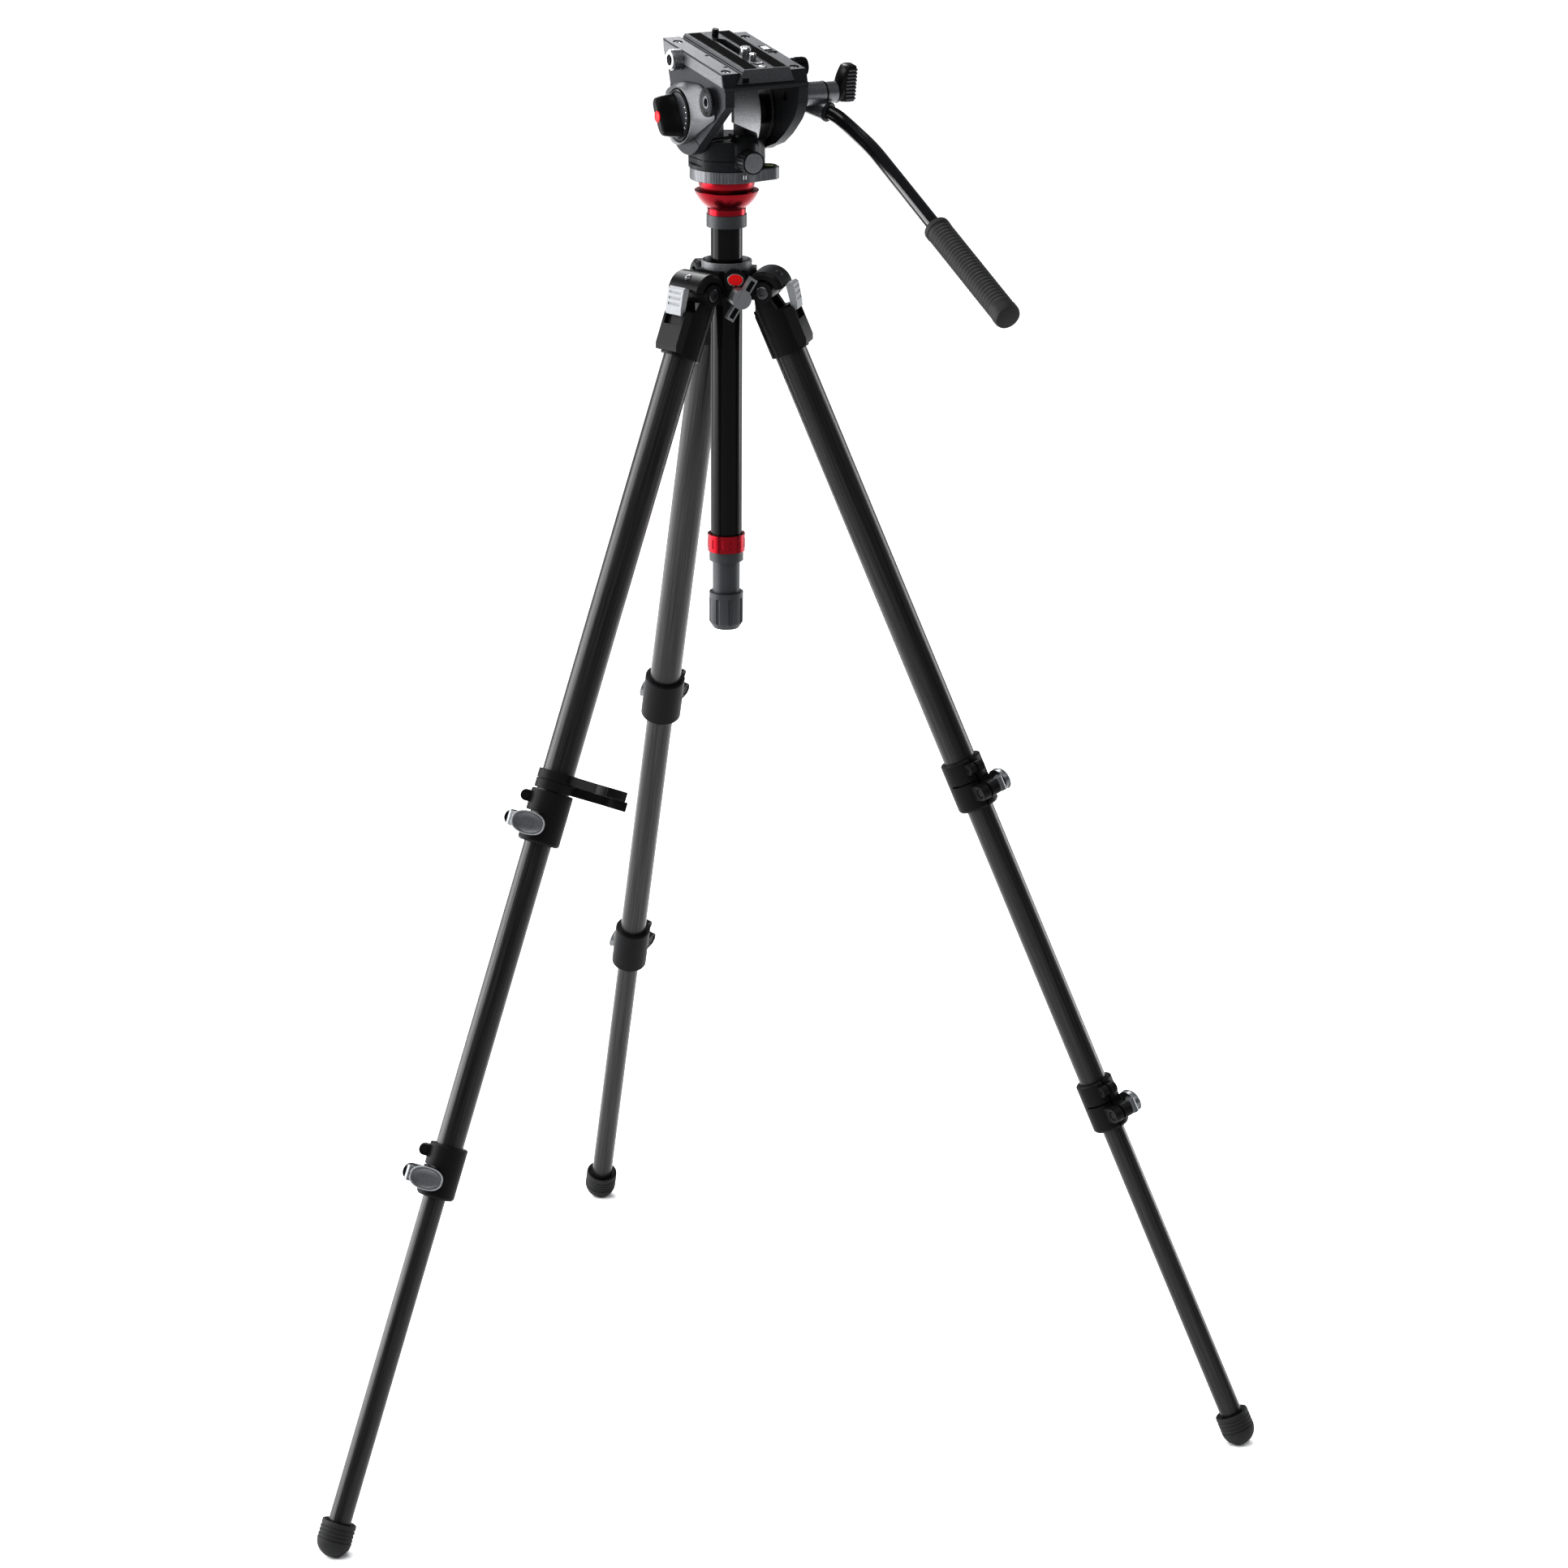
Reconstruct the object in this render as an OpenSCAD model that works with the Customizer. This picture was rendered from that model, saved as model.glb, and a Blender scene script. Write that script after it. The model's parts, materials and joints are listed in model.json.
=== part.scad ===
// Three-section carbon tripod with a levelling centre column and a fluid video head.
// +Z is up, the rear leg points to +Y and the operator stands on the -Y side.
// Every leg part is drawn in its hinge's frame, with the leg running down -Z and +X outward.
// Every head part is drawn with +X to the operator's right and +Y towards the lens.

/* [Stance] */
// Angle of each leg from the vertical, degrees
leg_angle = 23.5; // [23:0.25:24]
// Turn of the head about the column, degrees
pan_rest = 11.5; // [0:0.5:20]
// Rise of the lens end of the head, degrees
tilt_rest = 8; // [0:0.5:12]

/* [Legs] */
// Outer diameter of the top leg tube
upper_d = 29.2; // [29:0.1:29.4]
// Outer diameter of the middle leg tube
mid_d = 24.8; // [24.6:0.1:25]
// Outer diameter of the bottom leg tube
low_d = 20.4; // [20.2:0.1:20.6]
// Distance down the leg from its hinge to the top of the upper clamp
upper_clamp_s = 455.6; // [450:0.1:460]
// Distance down the leg from its hinge to the top of the lower clamp
lower_clamp_s = 778.4; // [770:0.1:785]
// Length of each leg clamp
clamp_len = 46.6; // [46:0.1:48]
// Diameter of the rubber foot
foot_d = 31; // [30:0.5:32]
// Distance down the leg from its hinge to the open rim of the foot
foot_rim_s = 1121.8; // [1118:0.1:1124]

/* [Spider] */
// Distance of each leg hinge from the column axis
hinge_r = 37.5; // [37:0.5:38]
// Height of the leg hinges
hinge_z = 1060; // [1058:0.5:1062]
// Outer diameter of the centre column
column_d = 28; // [27.8:0.1:28.2]

/* [Levelling bowl] */
// Height of the centre of the levelling ball
ball_z = 1155.6; // [1155:0.1:1156]
// Radius of the levelling ball
ball_r = 25; // [24.8:0.1:25]

/* [Head] */
// Height of the tilt axis
tilt_z = 1215; // [1215:0.5:1217]
// Half width of the camera platform
deck_half_w = 40.5; // [40:0.1:41]
// Radius of the drum that holds the tilt drag
drum_r = 39.8; // [39:0.1:39.8]
// Diameter of the pan bar
bar_d = 12.5; // [12:0.1:13]

/* [Hidden] */
$fn = 64;
LEGS = ["rear", "left", "right"];
LEG_PARTS = ["casting", "upper_tube", "latch", "upper_clamp", "upper_lever", "mid_tube",
             "lower_clamp", "lower_lever", "low_tube", "foot"];
LEG_NODES = [for (leg = LEGS) for (part = LEG_PARTS) str(leg, "_", part)];

BLACK = [0.06, 0.06, 0.065];
CARBON = [0.13, 0.13, 0.14];
DARK_GREY = [0.22, 0.23, 0.24];
GREY = [0.5, 0.51, 0.52];
SILVER = [0.78, 0.78, 0.8];
RED = [0.72, 0.04, 0.08];

run = 0.05;     // radial play of a running fit
gap = 0.3;      // space between faces that move past each other
leg_az = [90, 210, 330];

// The tube axis of a leg passes this far inside its hinge pin
leg_inset = 2.85;
ear_r = 9.3;            // radius of the fork ears around the hinge
ear_half_w = 22;        // half the width over the ears
lug_half_w = 9.2;       // half the width of the spider's lug between them
hinge_bolt_r = 3;
hood_in_r = 11.5;
hood_out_r = 18.2;
hood_half_w = 19.5;
sleeve_r = 17.6;
casting_end_s = 58.8;
tube_start_s = 28;
tube_wall_run = 0.1;    // a tube's bore is this much wider than the next tube

upper_r = upper_d / 2;
mid_r = mid_d / 2;
low_r = low_d / 2;
column_r = column_d / 2;
column_in_r = 11.5;
foot_r = foot_d / 2;
foot_flat = 0.5;        // height lost to the flat patch on which a foot stands
foot_s = (hinge_z - leg_inset * sin(leg_angle) - (foot_r - foot_flat)) / cos(leg_angle);
foot_reach = hinge_r - leg_inset * cos(leg_angle) + foot_s * sin(leg_angle) + foot_r;
mid_top_s = 375;
mid_end_s = lower_clamp_s + 22;
low_top_s = 703;
low_end_s = foot_s - 2;
upper_end_s = upper_clamp_s + 22;

spider_bottom = 1046.5;
spider_top = 1078.7;
knob_y = -46;
knob_z = 1058;
wing_turn = 57.7;

grip_bottom = 748.6;
grip_shoulder = 782;
grip_top = 811;
collar_low_top = 820;
unlock_top = 836;
collar_high_z = 1114;
bowl_z = 1125;
bowl_ring_top = 1131;
bowl_rim_z = 1146;
bowl_ring_r = 17;
bowl_out_r = 29.9;
post_r = 6.5;
rod_r = 4;
cross_half = 3.8;
cross_pin_r = 1.75;
ball_hollow_r = 13.6;

base_r = 32.5;
base_z = 1156.2;
base_top = 1167;
bubble_x = 36;
pan_r = 33.5;
pan_top = 1193;
pan_flat = 30.4;        // half width of the pan housing where the cheeks swing past
pan_flat_z = 1170.5;    // bottom of those flats
pan_pin_r = 10;
pan_knob_z = 1177.4;
drum_half_w = 13;
axle_r = 6;

cheek_in = 31;
cheek_out = 40;
cheek_r = 35;
cheek_hub_r = 13;
deck_top = 54;
deck_floor = 44.5;
deck_base = 40.4;
deck_lens_y = 51;
deck_back_y = -64;
deck_lean = 6.5;        // how far the end faces lean outward at the bottom
rosette = [-46.5, 24.9];    // y and z of the rosettes' axis
rosette_r = 12.3;
rosette_end = 45;
cover_out = 47.5;
dial_r = 22.3;
socket = [16, 45];      // y and z of the accessory socket's axis
socket_spigot_r = 4.5;
socket_floor_x = -42;

plate_top = 58;
plate_low = 45.3;
plate_half_w = 21.8;    // at its top face
plate_slope = 0.48;     // growth of the half width for each mm down
plate_lens_y = 46.5;
plate_back_y = -68;
stud_38_r = 4.76;
stud_14_r = 3.17;
stud_38_y = -27;
stud_14_y = -41;

bar_r = bar_d / 2;
// Points of the pan bar in the tilting head's frame: clamp, two bends, the end
BAR = [[57.5, -38.6, 14.3], [72, -65.6, 10.5], [76, -82, 5.5], [76, -128, -1], [76, -373, -69.6]];
grip_back = 131;        // length of the hand grip
grip_r = 11.6;

function tilted(p) = [p.x, p.y * cos(tilt_rest) - p.z * sin(tilt_rest),
                      tilt_z + p.y * sin(tilt_rest) + p.z * cos(tilt_rest)];
function panned(p) = [p.x * cos(pan_rest) - p.y * sin(pan_rest),
                      p.x * sin(pan_rest) + p.y * cos(pan_rest), p.z];
bar_end = panned(tilted(BAR[4]));
// The frame's origin is on the floor, halfway between the rear foot and the end of the pan bar
column_y = -(foot_reach + bar_end.y - grip_r) / 2;

// ---- frames -------------------------------------------------------------------------------

module at_column() {
    translate([0, column_y, 0]) children();
}

module at_leg(i) {
    at_column() rotate(leg_az[i]) translate([hinge_r, 0, hinge_z]) rotate([0, -leg_angle, 0])
        children();
}

// Along a leg's tube: its axis on Z, with z = 0 at distance s from the hinge
module on_tube(i, s) {
    at_leg(i) translate([-leg_inset, 0, -s]) children();
}

// A clamp's own frame: +X towards its ears and +Y towards its lever
module at_clamp(i, s) {
    on_tube(i, s) rotate(-46) children();
}

module at_pan() {
    at_column() rotate(pan_rest) children();
}

module at_tilt() {
    at_pan() translate([0, 0, tilt_z]) rotate([tilt_rest, 0, 0]) children();
}

// ---- shapes used more than once -----------------------------------------------------------

module rod_x(r, x0, x1) {
    translate([x0, 0, 0]) rotate([0, 90, 0]) cylinder(r = r, h = x1 - x0);
}

module rod_y(r, y0, y1) {
    translate([0, y1, 0]) rotate([90, 0, 0]) cylinder(r = r, h = y1 - y0);
}

module rod_z(r, z0, z1) {
    translate([0, 0, z0]) cylinder(r = r, h = z1 - z0);
}

module box(lo, hi) {
    translate(lo) cube(hi - lo);
}

// Round rod from point a to point b
module link(a, b, r) {
    d = b - a;
    len = norm(d);
    translate(a) rotate([0, acos(d.z / len), atan2(d.y, d.x)]) cylinder(r = r, h = len);
}

// Two discs of different size joined by a web just inside their common tangents
module lobe(r1, r2, d) {
    b = acos((r1 - r2) / d);
    e1 = r1 * 0.985;
    e2 = r2 - (r1 - e1);
    circle(r1);
    translate([d, 0]) circle(r2);
    polygon([[e1 * cos(b), e1 * sin(b)], [d + e2 * cos(b), e2 * sin(b)],
             [d + e2 * cos(b), -e2 * sin(b)], [e1 * cos(b), -e1 * sin(b)]]);
}

// Outline in (x, z) drawn across Y
module across_y(half_w) {
    rotate([90, 0, 0]) linear_extrude(2 * half_w, center = true) children();
}

// Outline in (y, z) drawn along X
module along_x(x0, x1) {
    translate([x0, 0, 0]) rotate([90, 0, 90]) linear_extrude(x1 - x0) children();
}

module pipe(r_out, r_in, length) {
    difference() {
        rod_z(r_out, -length, 0);
        rod_z(r_in, -length - 1, 1);
    }
}

// Four-arc oval, a long and b wide, standing on Y from y0 to y1
module oval_y(a, b, y0, y1) {
    end_r = b * 0.34;
    ex = a / 2 - end_r;
    k = b / 2 - end_r;
    c = (ex * ex - k * k) / (2 * k);
    side_r = b / 2 + c;
    meet_x = ex * side_r / (side_r - end_r);
    for (side = [-1, 1]) translate([side * ex, 0, 0]) rod_y(end_r, y0, y1);
    intersection() {
        translate([0, 0, -c]) rod_y(side_r, y0, y1);
        translate([0, 0, c]) rod_y(side_r, y0, y1);
        box([-meet_x, y0, -b], [meet_x, y1, b]);
    }
}

// ---- spider -------------------------------------------------------------------------------

// Domed hood over one fork, in the hinge's upright frame
module hood() {
    steps = [14, 40, 70, 100, 130, 165];
    intersection() {
        across_y(hood_half_w) intersection() {
            difference() {
                circle(hood_out_r);
                circle(hood_in_r);
            }
            polygon(concat([[0, 0]], [for (t = steps) 30 * [cos(t), sin(t)]]));
        }
        sphere(25);
    }
}

module spider_arm() {
    translate([hinge_r, 0, hinge_z]) {
        rod_y(9, -lug_half_w, lug_half_w);
        box([-22, -lug_half_w, -9], [0, lug_half_w, 9]);
        hood();
    }
    // root of the hood on the collar
    box([14, -14, hinge_z + 11], [24, 14, spider_top - 1]);
}

module spider() {
    color(BLACK) at_column() difference() {
        union() {
            rod_z(19.5, spider_bottom, spider_top - 4);
            rod_z(21.3, hinge_z + 2, spider_top);
            for (az = leg_az) rotate(az) spider_arm();
            // bosses for the badge and for the column lock
            translate([0, 0, knob_z]) rod_y(8.6, -38, -12);
            translate([0, -20, 1067]) rotate([65, 0, 0]) cylinder(r = 10, h = 9.5);
            box([-10, -24, knob_z], [10, -14, spider_top - 3]);
        }
        rod_z(column_r + run, spider_bottom - 1, spider_top + 1);
        translate([0, 0, spider_top - 3.5]) cylinder(r1 = column_r, r2 = 18.6, h = 4);
        for (az = leg_az) rotate(az) translate([hinge_r, 0, hinge_z])
            rod_y(hinge_bolt_r + run, -30, 30);
        translate([0, 0, knob_z]) rod_y(3.2 + run, -40, -12);
    }
}

module hinge_bolts() {
    color(DARK_GREY) at_column() for (az = leg_az) rotate(az) translate([hinge_r, 0, hinge_z])
        rod_y(hinge_bolt_r, 2 - ear_half_w, ear_half_w - 2);
}

module column_lock_knob() {
    color(DARK_GREY) at_column() translate([0, knob_y, knob_z]) {
        rod_y(3.2, 7, 27);
        rod_y(8.6, -5, 7.6);
        rotate([0, -wing_turn, 0]) box([-21, -5.2, -3.6], [21, 1.9, 3.6]);
    }
}

// ---- column and levelling -----------------------------------------------------------------

module column_tube() {
    color(BLACK) at_column() translate([0, 0, bowl_z])
        pipe(column_r, column_in_r, bowl_z - collar_low_top);
}

module column_collars() {
    color(DARK_GREY) at_column() {
        difference() {
            union() {
                rod_z(15.25, grip_top + gap, collar_low_top);
                rod_z(column_in_r - run, collar_low_top, unlock_top);
            }
            rod_z(rod_r + run, grip_top, unlock_top + 1);
        }
        difference() {
            rod_z(17.75, collar_high_z, bowl_z);
            rod_z(column_r + run, collar_high_z - 1, bowl_z + 1);
        }
    }
}

// Arc of radius r about the ball's centre, from height z0 up to z1, as (radius, z) points
function bowl_arc(r, z0, z1, n = 12) =
    [for (i = [0:n]) let (z = z0 + (z1 - z0) * i / n) [sqrt(r * r - pow(ball_z - z, 2)), z]];

module level_bowl() {
    inner_z = ball_z - sqrt(pow(ball_r + gap, 2) - pow(post_r, 2));
    outline = concat([[rod_r + run, bowl_z], [bowl_ring_r, bowl_z]],
                     bowl_arc(bowl_out_r, bowl_ring_top, bowl_rim_z),
                     [for (i = [0:12]) bowl_arc(ball_r + gap, inner_z, bowl_rim_z)[12 - i]],
                     [[post_r, ball_z - 6.2], [rod_r + run, ball_z - 6.2]]);
    color(RED) at_column() {
        rotate_extrude() polygon(outline);
        // fork of the levelling cross
        translate([0, 0, ball_z]) for (side = [-1, 1]) difference() {
            box([side > 0 ? 4.3 : -6.4, -3.3, -7], [side > 0 ? 6.4 : -4.3, 3.3, 2.8]);
            rod_x(cross_pin_r + run, -8, 8);
        }
    }
}

module unlock_ring() {
    color(RED) at_column() translate([0, 0, unlock_top]) difference() {
        rod_z(16.75, collar_low_top + gap - unlock_top, 0);
        rod_z(column_r + run, -20, 1);
        for (t = [0:30:330]) rotate(t) translate([17.6, 0, 0]) rod_z(1.4, -12, -4);
    }
}

module level_grip() {
    flutes = 8;
    color(DARK_GREY) at_column() {
        difference() {
            union() {
                rod_z(12.25, grip_shoulder, grip_top);
                rod_z(15.25, grip_bottom + 6, grip_shoulder);
                translate([0, 0, grip_bottom]) cylinder(r1 = 11.5, r2 = 15.25, h = 6);
            }
            for (i = [0:flutes - 1]) rotate(i * 360 / flutes)
                translate([16.6, 0, 0]) rod_z(2.6, grip_bottom - 1, grip_shoulder - 5);
            rod_z(rod_r + run, grip_shoulder, grip_top + 1);
        }
        rod_z(rod_r, grip_shoulder + gap, ball_z - 12);
    }
}

module level_cross() {
    color(SILVER) at_column() translate([0, 0, ball_z]) {
        box([-cross_half, -cross_half, -cross_half], [cross_half, cross_half, cross_half]);
        rod_x(cross_pin_r, -6.4, 6.4);
        rod_y(cross_pin_r, -13, 13);
    }
}

module half_ball() {
    color(RED) at_column() difference() {
        union() {
            difference() {
                translate([0, 0, ball_z]) sphere(ball_r, $fn = 96);
                rod_z(ball_r + 5, base_z, ball_z + 40);
                rod_z(ball_hollow_r, ball_z - 40, ball_z + 10);
            }
            // lugs that carry the levelling cross
            for (side = [0, 180]) translate([0, 0, ball_z]) rotate(side) {
                box([-3, 7.8, -3.6], [3, 14.4, base_z - ball_z]);
                box([-3, 7.8, -3.6], [3, 13.2, 3]);
            }
        }
        translate([0, 0, ball_z]) rod_y(cross_pin_r + run, -14, 14);
    }
}

module head_base() {
    color(GREY) at_column() difference() {
        union() {
            translate([0, 0, base_z]) rotate(-16) linear_extrude(base_top - base_z)
                lobe(base_r, 10, bubble_x);
            rod_z(pan_pin_r, base_top - 1, 1180);
        }
        rod_z(ball_hollow_r, base_z - 1, base_z + 6.5);
        rotate(-16) translate([bubble_x, 0, 0]) rod_z(6.8, base_top - 4, base_top + 1);
    }
}

// ---- pan housing --------------------------------------------------------------------------

// Drum about the tilt axis, opened below to leave a post on the left, a wedge on the right
// and a curved back wall whose lower edge slopes
module neck() {
    floor_z = pan_top - tilt_z;
    open_z = 18;
    difference() {
        rod_x(drum_r, -drum_half_w, drum_half_w);
        translate([0, 0, floor_z]) linear_extrude(open_z - floor_z)
            polygon([[-14, -34.5], [-11.4, -34.5], [14, 13.9], [14, 45],
                     [-5, 45], [-5, -3.8], [-14, -21]]);
        translate([0, -28, 0]) across_y(17)
            polygon([[-14, floor_z], [-14, -3], [2, -10.5], [10, -14], [14, floor_z]]);
    }
}

module pan_housing() {
    color(DARK_GREY) at_pan() difference() {
        union() {
            rod_z(pan_r, base_top + gap, pan_flat_z);
            intersection() {
                rod_z(pan_r, pan_flat_z - 1, pan_top);
                box([-pan_flat, -40, pan_flat_z - 1], [pan_flat, 40, pan_top]);
            }
            translate([0, 0, tilt_z]) neck();
            translate([0, 0, pan_knob_z]) rod_y(9, -39, -25);
        }
        rod_z(pan_pin_r + run, base_top - 1, 1181);
        translate([0, 0, tilt_z]) rod_x(axle_r + run, -20, 20);
        translate([0, 0, pan_knob_z]) rod_y(3 + run, -40, -22);
    }
}

module tilt_axle() {
    color(SILVER) at_pan() translate([0, 0, tilt_z]) {
        rod_x(axle_r, 0.5 - cheek_out, -6);
        rod_x(axle_r, 11, cheek_out - 3);
    }
}

module pan_lock_knob() {
    color(DARK_GREY) at_pan() translate([0, 0, pan_knob_z]) {
        rod_y(3, -40, -23);
        difference() {
            rod_y(9.9, -52, -39.4);
            for (t = [0:15:345]) rotate([0, t, 0]) translate([10.5, 0, 0]) rod_y(0.9, -50.5, -39);
        }
    }
}

// ---- tilting platform ---------------------------------------------------------------------

module receiver() {
    lean = deck_lean * (deck_top - deck_base) / 15;
    color(DARK_GREY) at_tilt() difference() {
        across_x_outline();
        // dovetail channel for the plate
        across_y_channel();
        // pocket of the safety button
        box([29.8, -8, 46.5], [37.8, 8, deck_top + 1]);
        for (x = [-33, 33]) for (y = [-56, 37]) translate([x, y, 0])
            rod_z(4.2, deck_top - 1.6, deck_top + 1);
        translate([0, -38, 47.5]) rod_x(3 + run, 30, 42);
        translate([0, socket[0], socket[1]]) rod_x(socket_spigot_r + run, -42, -33);
    }

    module across_x_outline() {
        along_x(-deck_half_w, deck_half_w)
            polygon([[deck_back_y, deck_top], [deck_lens_y, deck_top],
                     [deck_lens_y - lean, deck_base], [deck_back_y - lean, deck_base]]);
    }

    module across_y_channel() {
        low_w = channel_half_w(deck_floor);
        top_w = channel_half_w(deck_top + 1);
        translate([0, -10, 0]) across_y(90)
            polygon([[-low_w, deck_floor], [low_w, deck_floor],
                     [top_w, deck_top + 1], [-top_w, deck_top + 1]]);
    }
}

// Half width of the plate and of its channel at height z above the tilt axis
function plate_w(z) = plate_half_w + (plate_top - z) * plate_slope;
function channel_half_w(z) = plate_w(z) + 0.45;

// Side outline of a cheek: a round end about the tilt axis and a long heel to the back.
// The last point of the heel has a straight edge that runs on to the round end.
module cheek_outline(heel) {
    last = heel[len(heel) - 1];
    t = atan2(last.y, last.x) + acos(cheek_r / norm(last));
    circle(cheek_r);
    polygon(concat([[-71, deck_base]], heel,
                   [(cheek_r - 0.5) * [cos(t), sin(t)], [0, 0], [cheek_r - 2, 0],
                    [33, 19], [38, 29], [43.5, deck_base]]));
}

// A cheek as it stands on the operator's right
module cheek(axle_end, heel) {
    difference() {
        union() {
            along_x(cheek_in, cheek_out) cheek_outline(heel);
            rod_x(cheek_hub_r, drum_half_w + gap, cheek_in + 1);
            translate([0, rosette.x, rosette.y]) rod_x(rosette_r, cheek_out - 1, rosette_end);
        }
        rod_x(axle_r + run, drum_half_w, axle_end);
        translate([0, rosette.x, rosette.y]) rod_x(rod_r + run, cheek_in - 1, rosette_end + 1);
    }
}

module right_cheek() {
    color(DARK_GREY) at_tilt() cheek(cheek_out - 2.5, [[-72.5, 27], [-70, 18.5], [-65.5, 10],
                                                        [-59, 2], [-50, -8.3], [-36, -20.5]]);
}

module left_cheek() {
    color(DARK_GREY) at_tilt() mirror([1, 0, 0]) cheek(cheek_out + 1, [[-73, 27]]);
}

module drag_cover() {
    color(GREY) at_tilt() difference() {
        mirror([1, 0, 0]) hull() {
            along_x(cheek_out + 0.05, cheek_out + 1) eye();
            rod_x(25, cover_out - 1, cover_out, $fn = 48);
        }
        rod_x(dial_r + 0.8, -cover_out - 1, -43.6);
        rod_x(rod_r + run, -45, -cheek_out + 1);
        translate([0, rosette.x, rosette.y]) rod_x(rosette_r + 0.6, -cover_out - 1, -cheek_out + 1);
    }

    // Pointed at both ends, with a round belly
    module eye() {
        polygon([[36, 6], [25, 19.5], [4, 29], [-14, 33], [-36, 34], [-58, 16], [-40, 0],
                 [-22, -13.5], [-3, -25.5], [10, -30], [22, -29], [32, -14]]);
    }
}

module accessory_socket() {
    color(SILVER) at_tilt() translate([0, socket[0], socket[1]]) difference() {
        union() {
            rod_x(9.2, -49.5, -deck_half_w);
            rod_x(8, -51, -49.5);
            rod_x(socket_spigot_r, -deck_half_w - 1, -34);
        }
        rod_x(stud_38_r, -52, socket_floor_x);
    }
}

module tilt_lock_knob() {
    color(BLACK) at_tilt() {
        rod_x(rod_r, -44.5, -cheek_out - 0.6);
        rod_x(dial_r, -48.6, -44);
        rotate([-24, 0, 0]) difference() {
            box([-67, -8, -20], [-48.6, 8, 20]);
            for (side = [-1, 1]) translate([-67, 0, side * 26]) rotate([0, side * 24, 0])
                box([-20, -10, -9], [60, 10, 9]);
        }
    }
}

module plate_lock_knob() {
    color(BLACK) at_tilt() translate([0, -38, 47.5]) {
        rod_x(3, 31, 42);
        difference() {
            rod_x(8, deck_half_w + gap, 53);
            for (t = [0:30:330]) rotate([t, 0, 0]) translate([0, 8.6, 0]) rod_x(1.3, 43, 52);
        }
    }
}

module release_button() {
    color(SILVER) at_tilt() {
        box([30.2, -5, 49], [37.4, 5, deck_top + 0.5]);
    }
}

// ---- quick-release plate and its screws ---------------------------------------------------

module quick_plate() {
    wide = plate_w(plate_low);
    color(DARK_GREY) at_tilt() difference() {
        translate([0, (plate_lens_y + plate_back_y) / 2, 0])
            across_y((plate_lens_y - plate_back_y) / 2)
                polygon([[-wide, plate_low], [wide, plate_low],
                         [plate_half_w, plate_top], [-plate_half_w, plate_top]]);
        // hollow under the deck for the screw heads
        box([-11, -55, plate_low - 1], [11, 26, 52]);
        // screw slot, round at both ends
        translate([0, stud_38_y, 0]) rod_z(stud_38_r + run, 50, plate_top + 1);
        translate([0, 19, 0]) rod_z(stud_38_r + run, 50, plate_top + 1);
        box([-stud_38_r - run, stud_38_y, 50], [stud_38_r + run, 19, plate_top + 1]);
        translate([0, stud_14_y, 0]) rod_z(stud_14_r + run, 50, plate_top + 1);
        // recesses of the two rubber strips
        for (x = [-20, 8]) box([x, -65, plate_top - 0.8], [x + 12, 43.5, plate_top + 1]);
    }
    color(BLACK) at_tilt() {
        for (x = [-20, 8]) box([x, -65, plate_top - 0.8], [x + 12, 43.5, plate_top + 0.4]);
        translate([0, 31, 0]) rod_z(2.9, plate_top, 65);
    }
}

// Captive screw: head under the plate, narrow neck through it, thread above
module camera_screw(r, y, head_r, top) {
    at_tilt() translate([0, y, 0]) {
        rod_z(r - 0.8, 50, plate_top + 1);
        rod_z(r, plate_top + 0.2, top - 0.8);
        translate([0, 0, top - 0.8]) cylinder(r1 = r, r2 = r - 0.8, h = 0.8);
        difference() {
            rod_z(head_r, 47.5, 51);
            box([-head_r, -0.7, 47], [head_r, 0.7, 48.5]);
        }
    }
}

module screw_38() {
    color(SILVER) camera_screw(stud_38_r, stud_38_y, 7.6, 65.5);
}

module screw_14() {
    color(SILVER) camera_screw(stud_14_r, stud_14_y, 5.5, 64);
}

// ---- pan bar ------------------------------------------------------------------------------

module bar_path(r) {
    for (i = [0:3]) link(BAR[i], BAR[i + 1], r);
    for (i = [1:3]) translate(BAR[i]) sphere(r + 0.15);
}

module bar_clamp() {
    mouth = BAR[0] + 24 / norm(BAR[1] - BAR[0]) * (BAR[1] - BAR[0]);
    back = BAR[0] - 3 / norm(BAR[1] - BAR[0]) * (BAR[1] - BAR[0]);
    color(DARK_GREY) at_tilt() difference() {
        union() {
            translate([0, rosette.x, rosette.y]) {
                rod_x(10.5, rosette_end + gap, 69);
                rod_x(9.5, 69, 80.2);
            }
            link(back, mouth, 8.3);
        }
        translate([0, rosette.x, rosette.y]) {
            rod_x(rod_r + run, rosette_end, 81);
            // slit between the fixed and the pinching half
            difference() {
                rod_x(12, 69, 70);
                rod_x(6, 68, 71);
            }
        }
        link(back, BAR[1], bar_r + run);
    }
}

module pan_bar() {
    color(BLACK) at_tilt() bar_path(bar_r);
}

module bar_grip() {
    along = (BAR[4] - BAR[3]) / norm(BAR[4] - BAR[3]);
    color(BLACK) at_tilt() difference() {
        union() {
            link(BAR[4] - grip_back * along, BAR[4] + 2 * along, grip_r - 0.6);
            link(BAR[4] - grip_back * along, BAR[4] - (grip_back - 5) * along, grip_r);
            link(BAR[4] - 5 * along, BAR[4] + 2 * along, grip_r);
        }
        link(BAR[4] - (grip_back + 1) * along, BAR[4] + 0.1 * along, bar_r + run);
    }
}

module bar_knob() {
    color(DARK_GREY) at_tilt() translate([0, rosette.x, rosette.y]) {
        rod_x(rod_r, 33, 82);
        difference() {
            union() {
                rod_x(8.6, 80.5, 86);
                across_y(7.2)
                    polygon([[81.5, -8.2], [98.5, -8.2], [99, 23], [97.5, 25.2], [88, 25.2], [82, 7]]);
            }
            for (z = [-4:3:23]) translate([99.6, 0, z]) rod_y(1.1, -9, 9);
        }
    }
}

// ---- legs ---------------------------------------------------------------------------------

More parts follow.
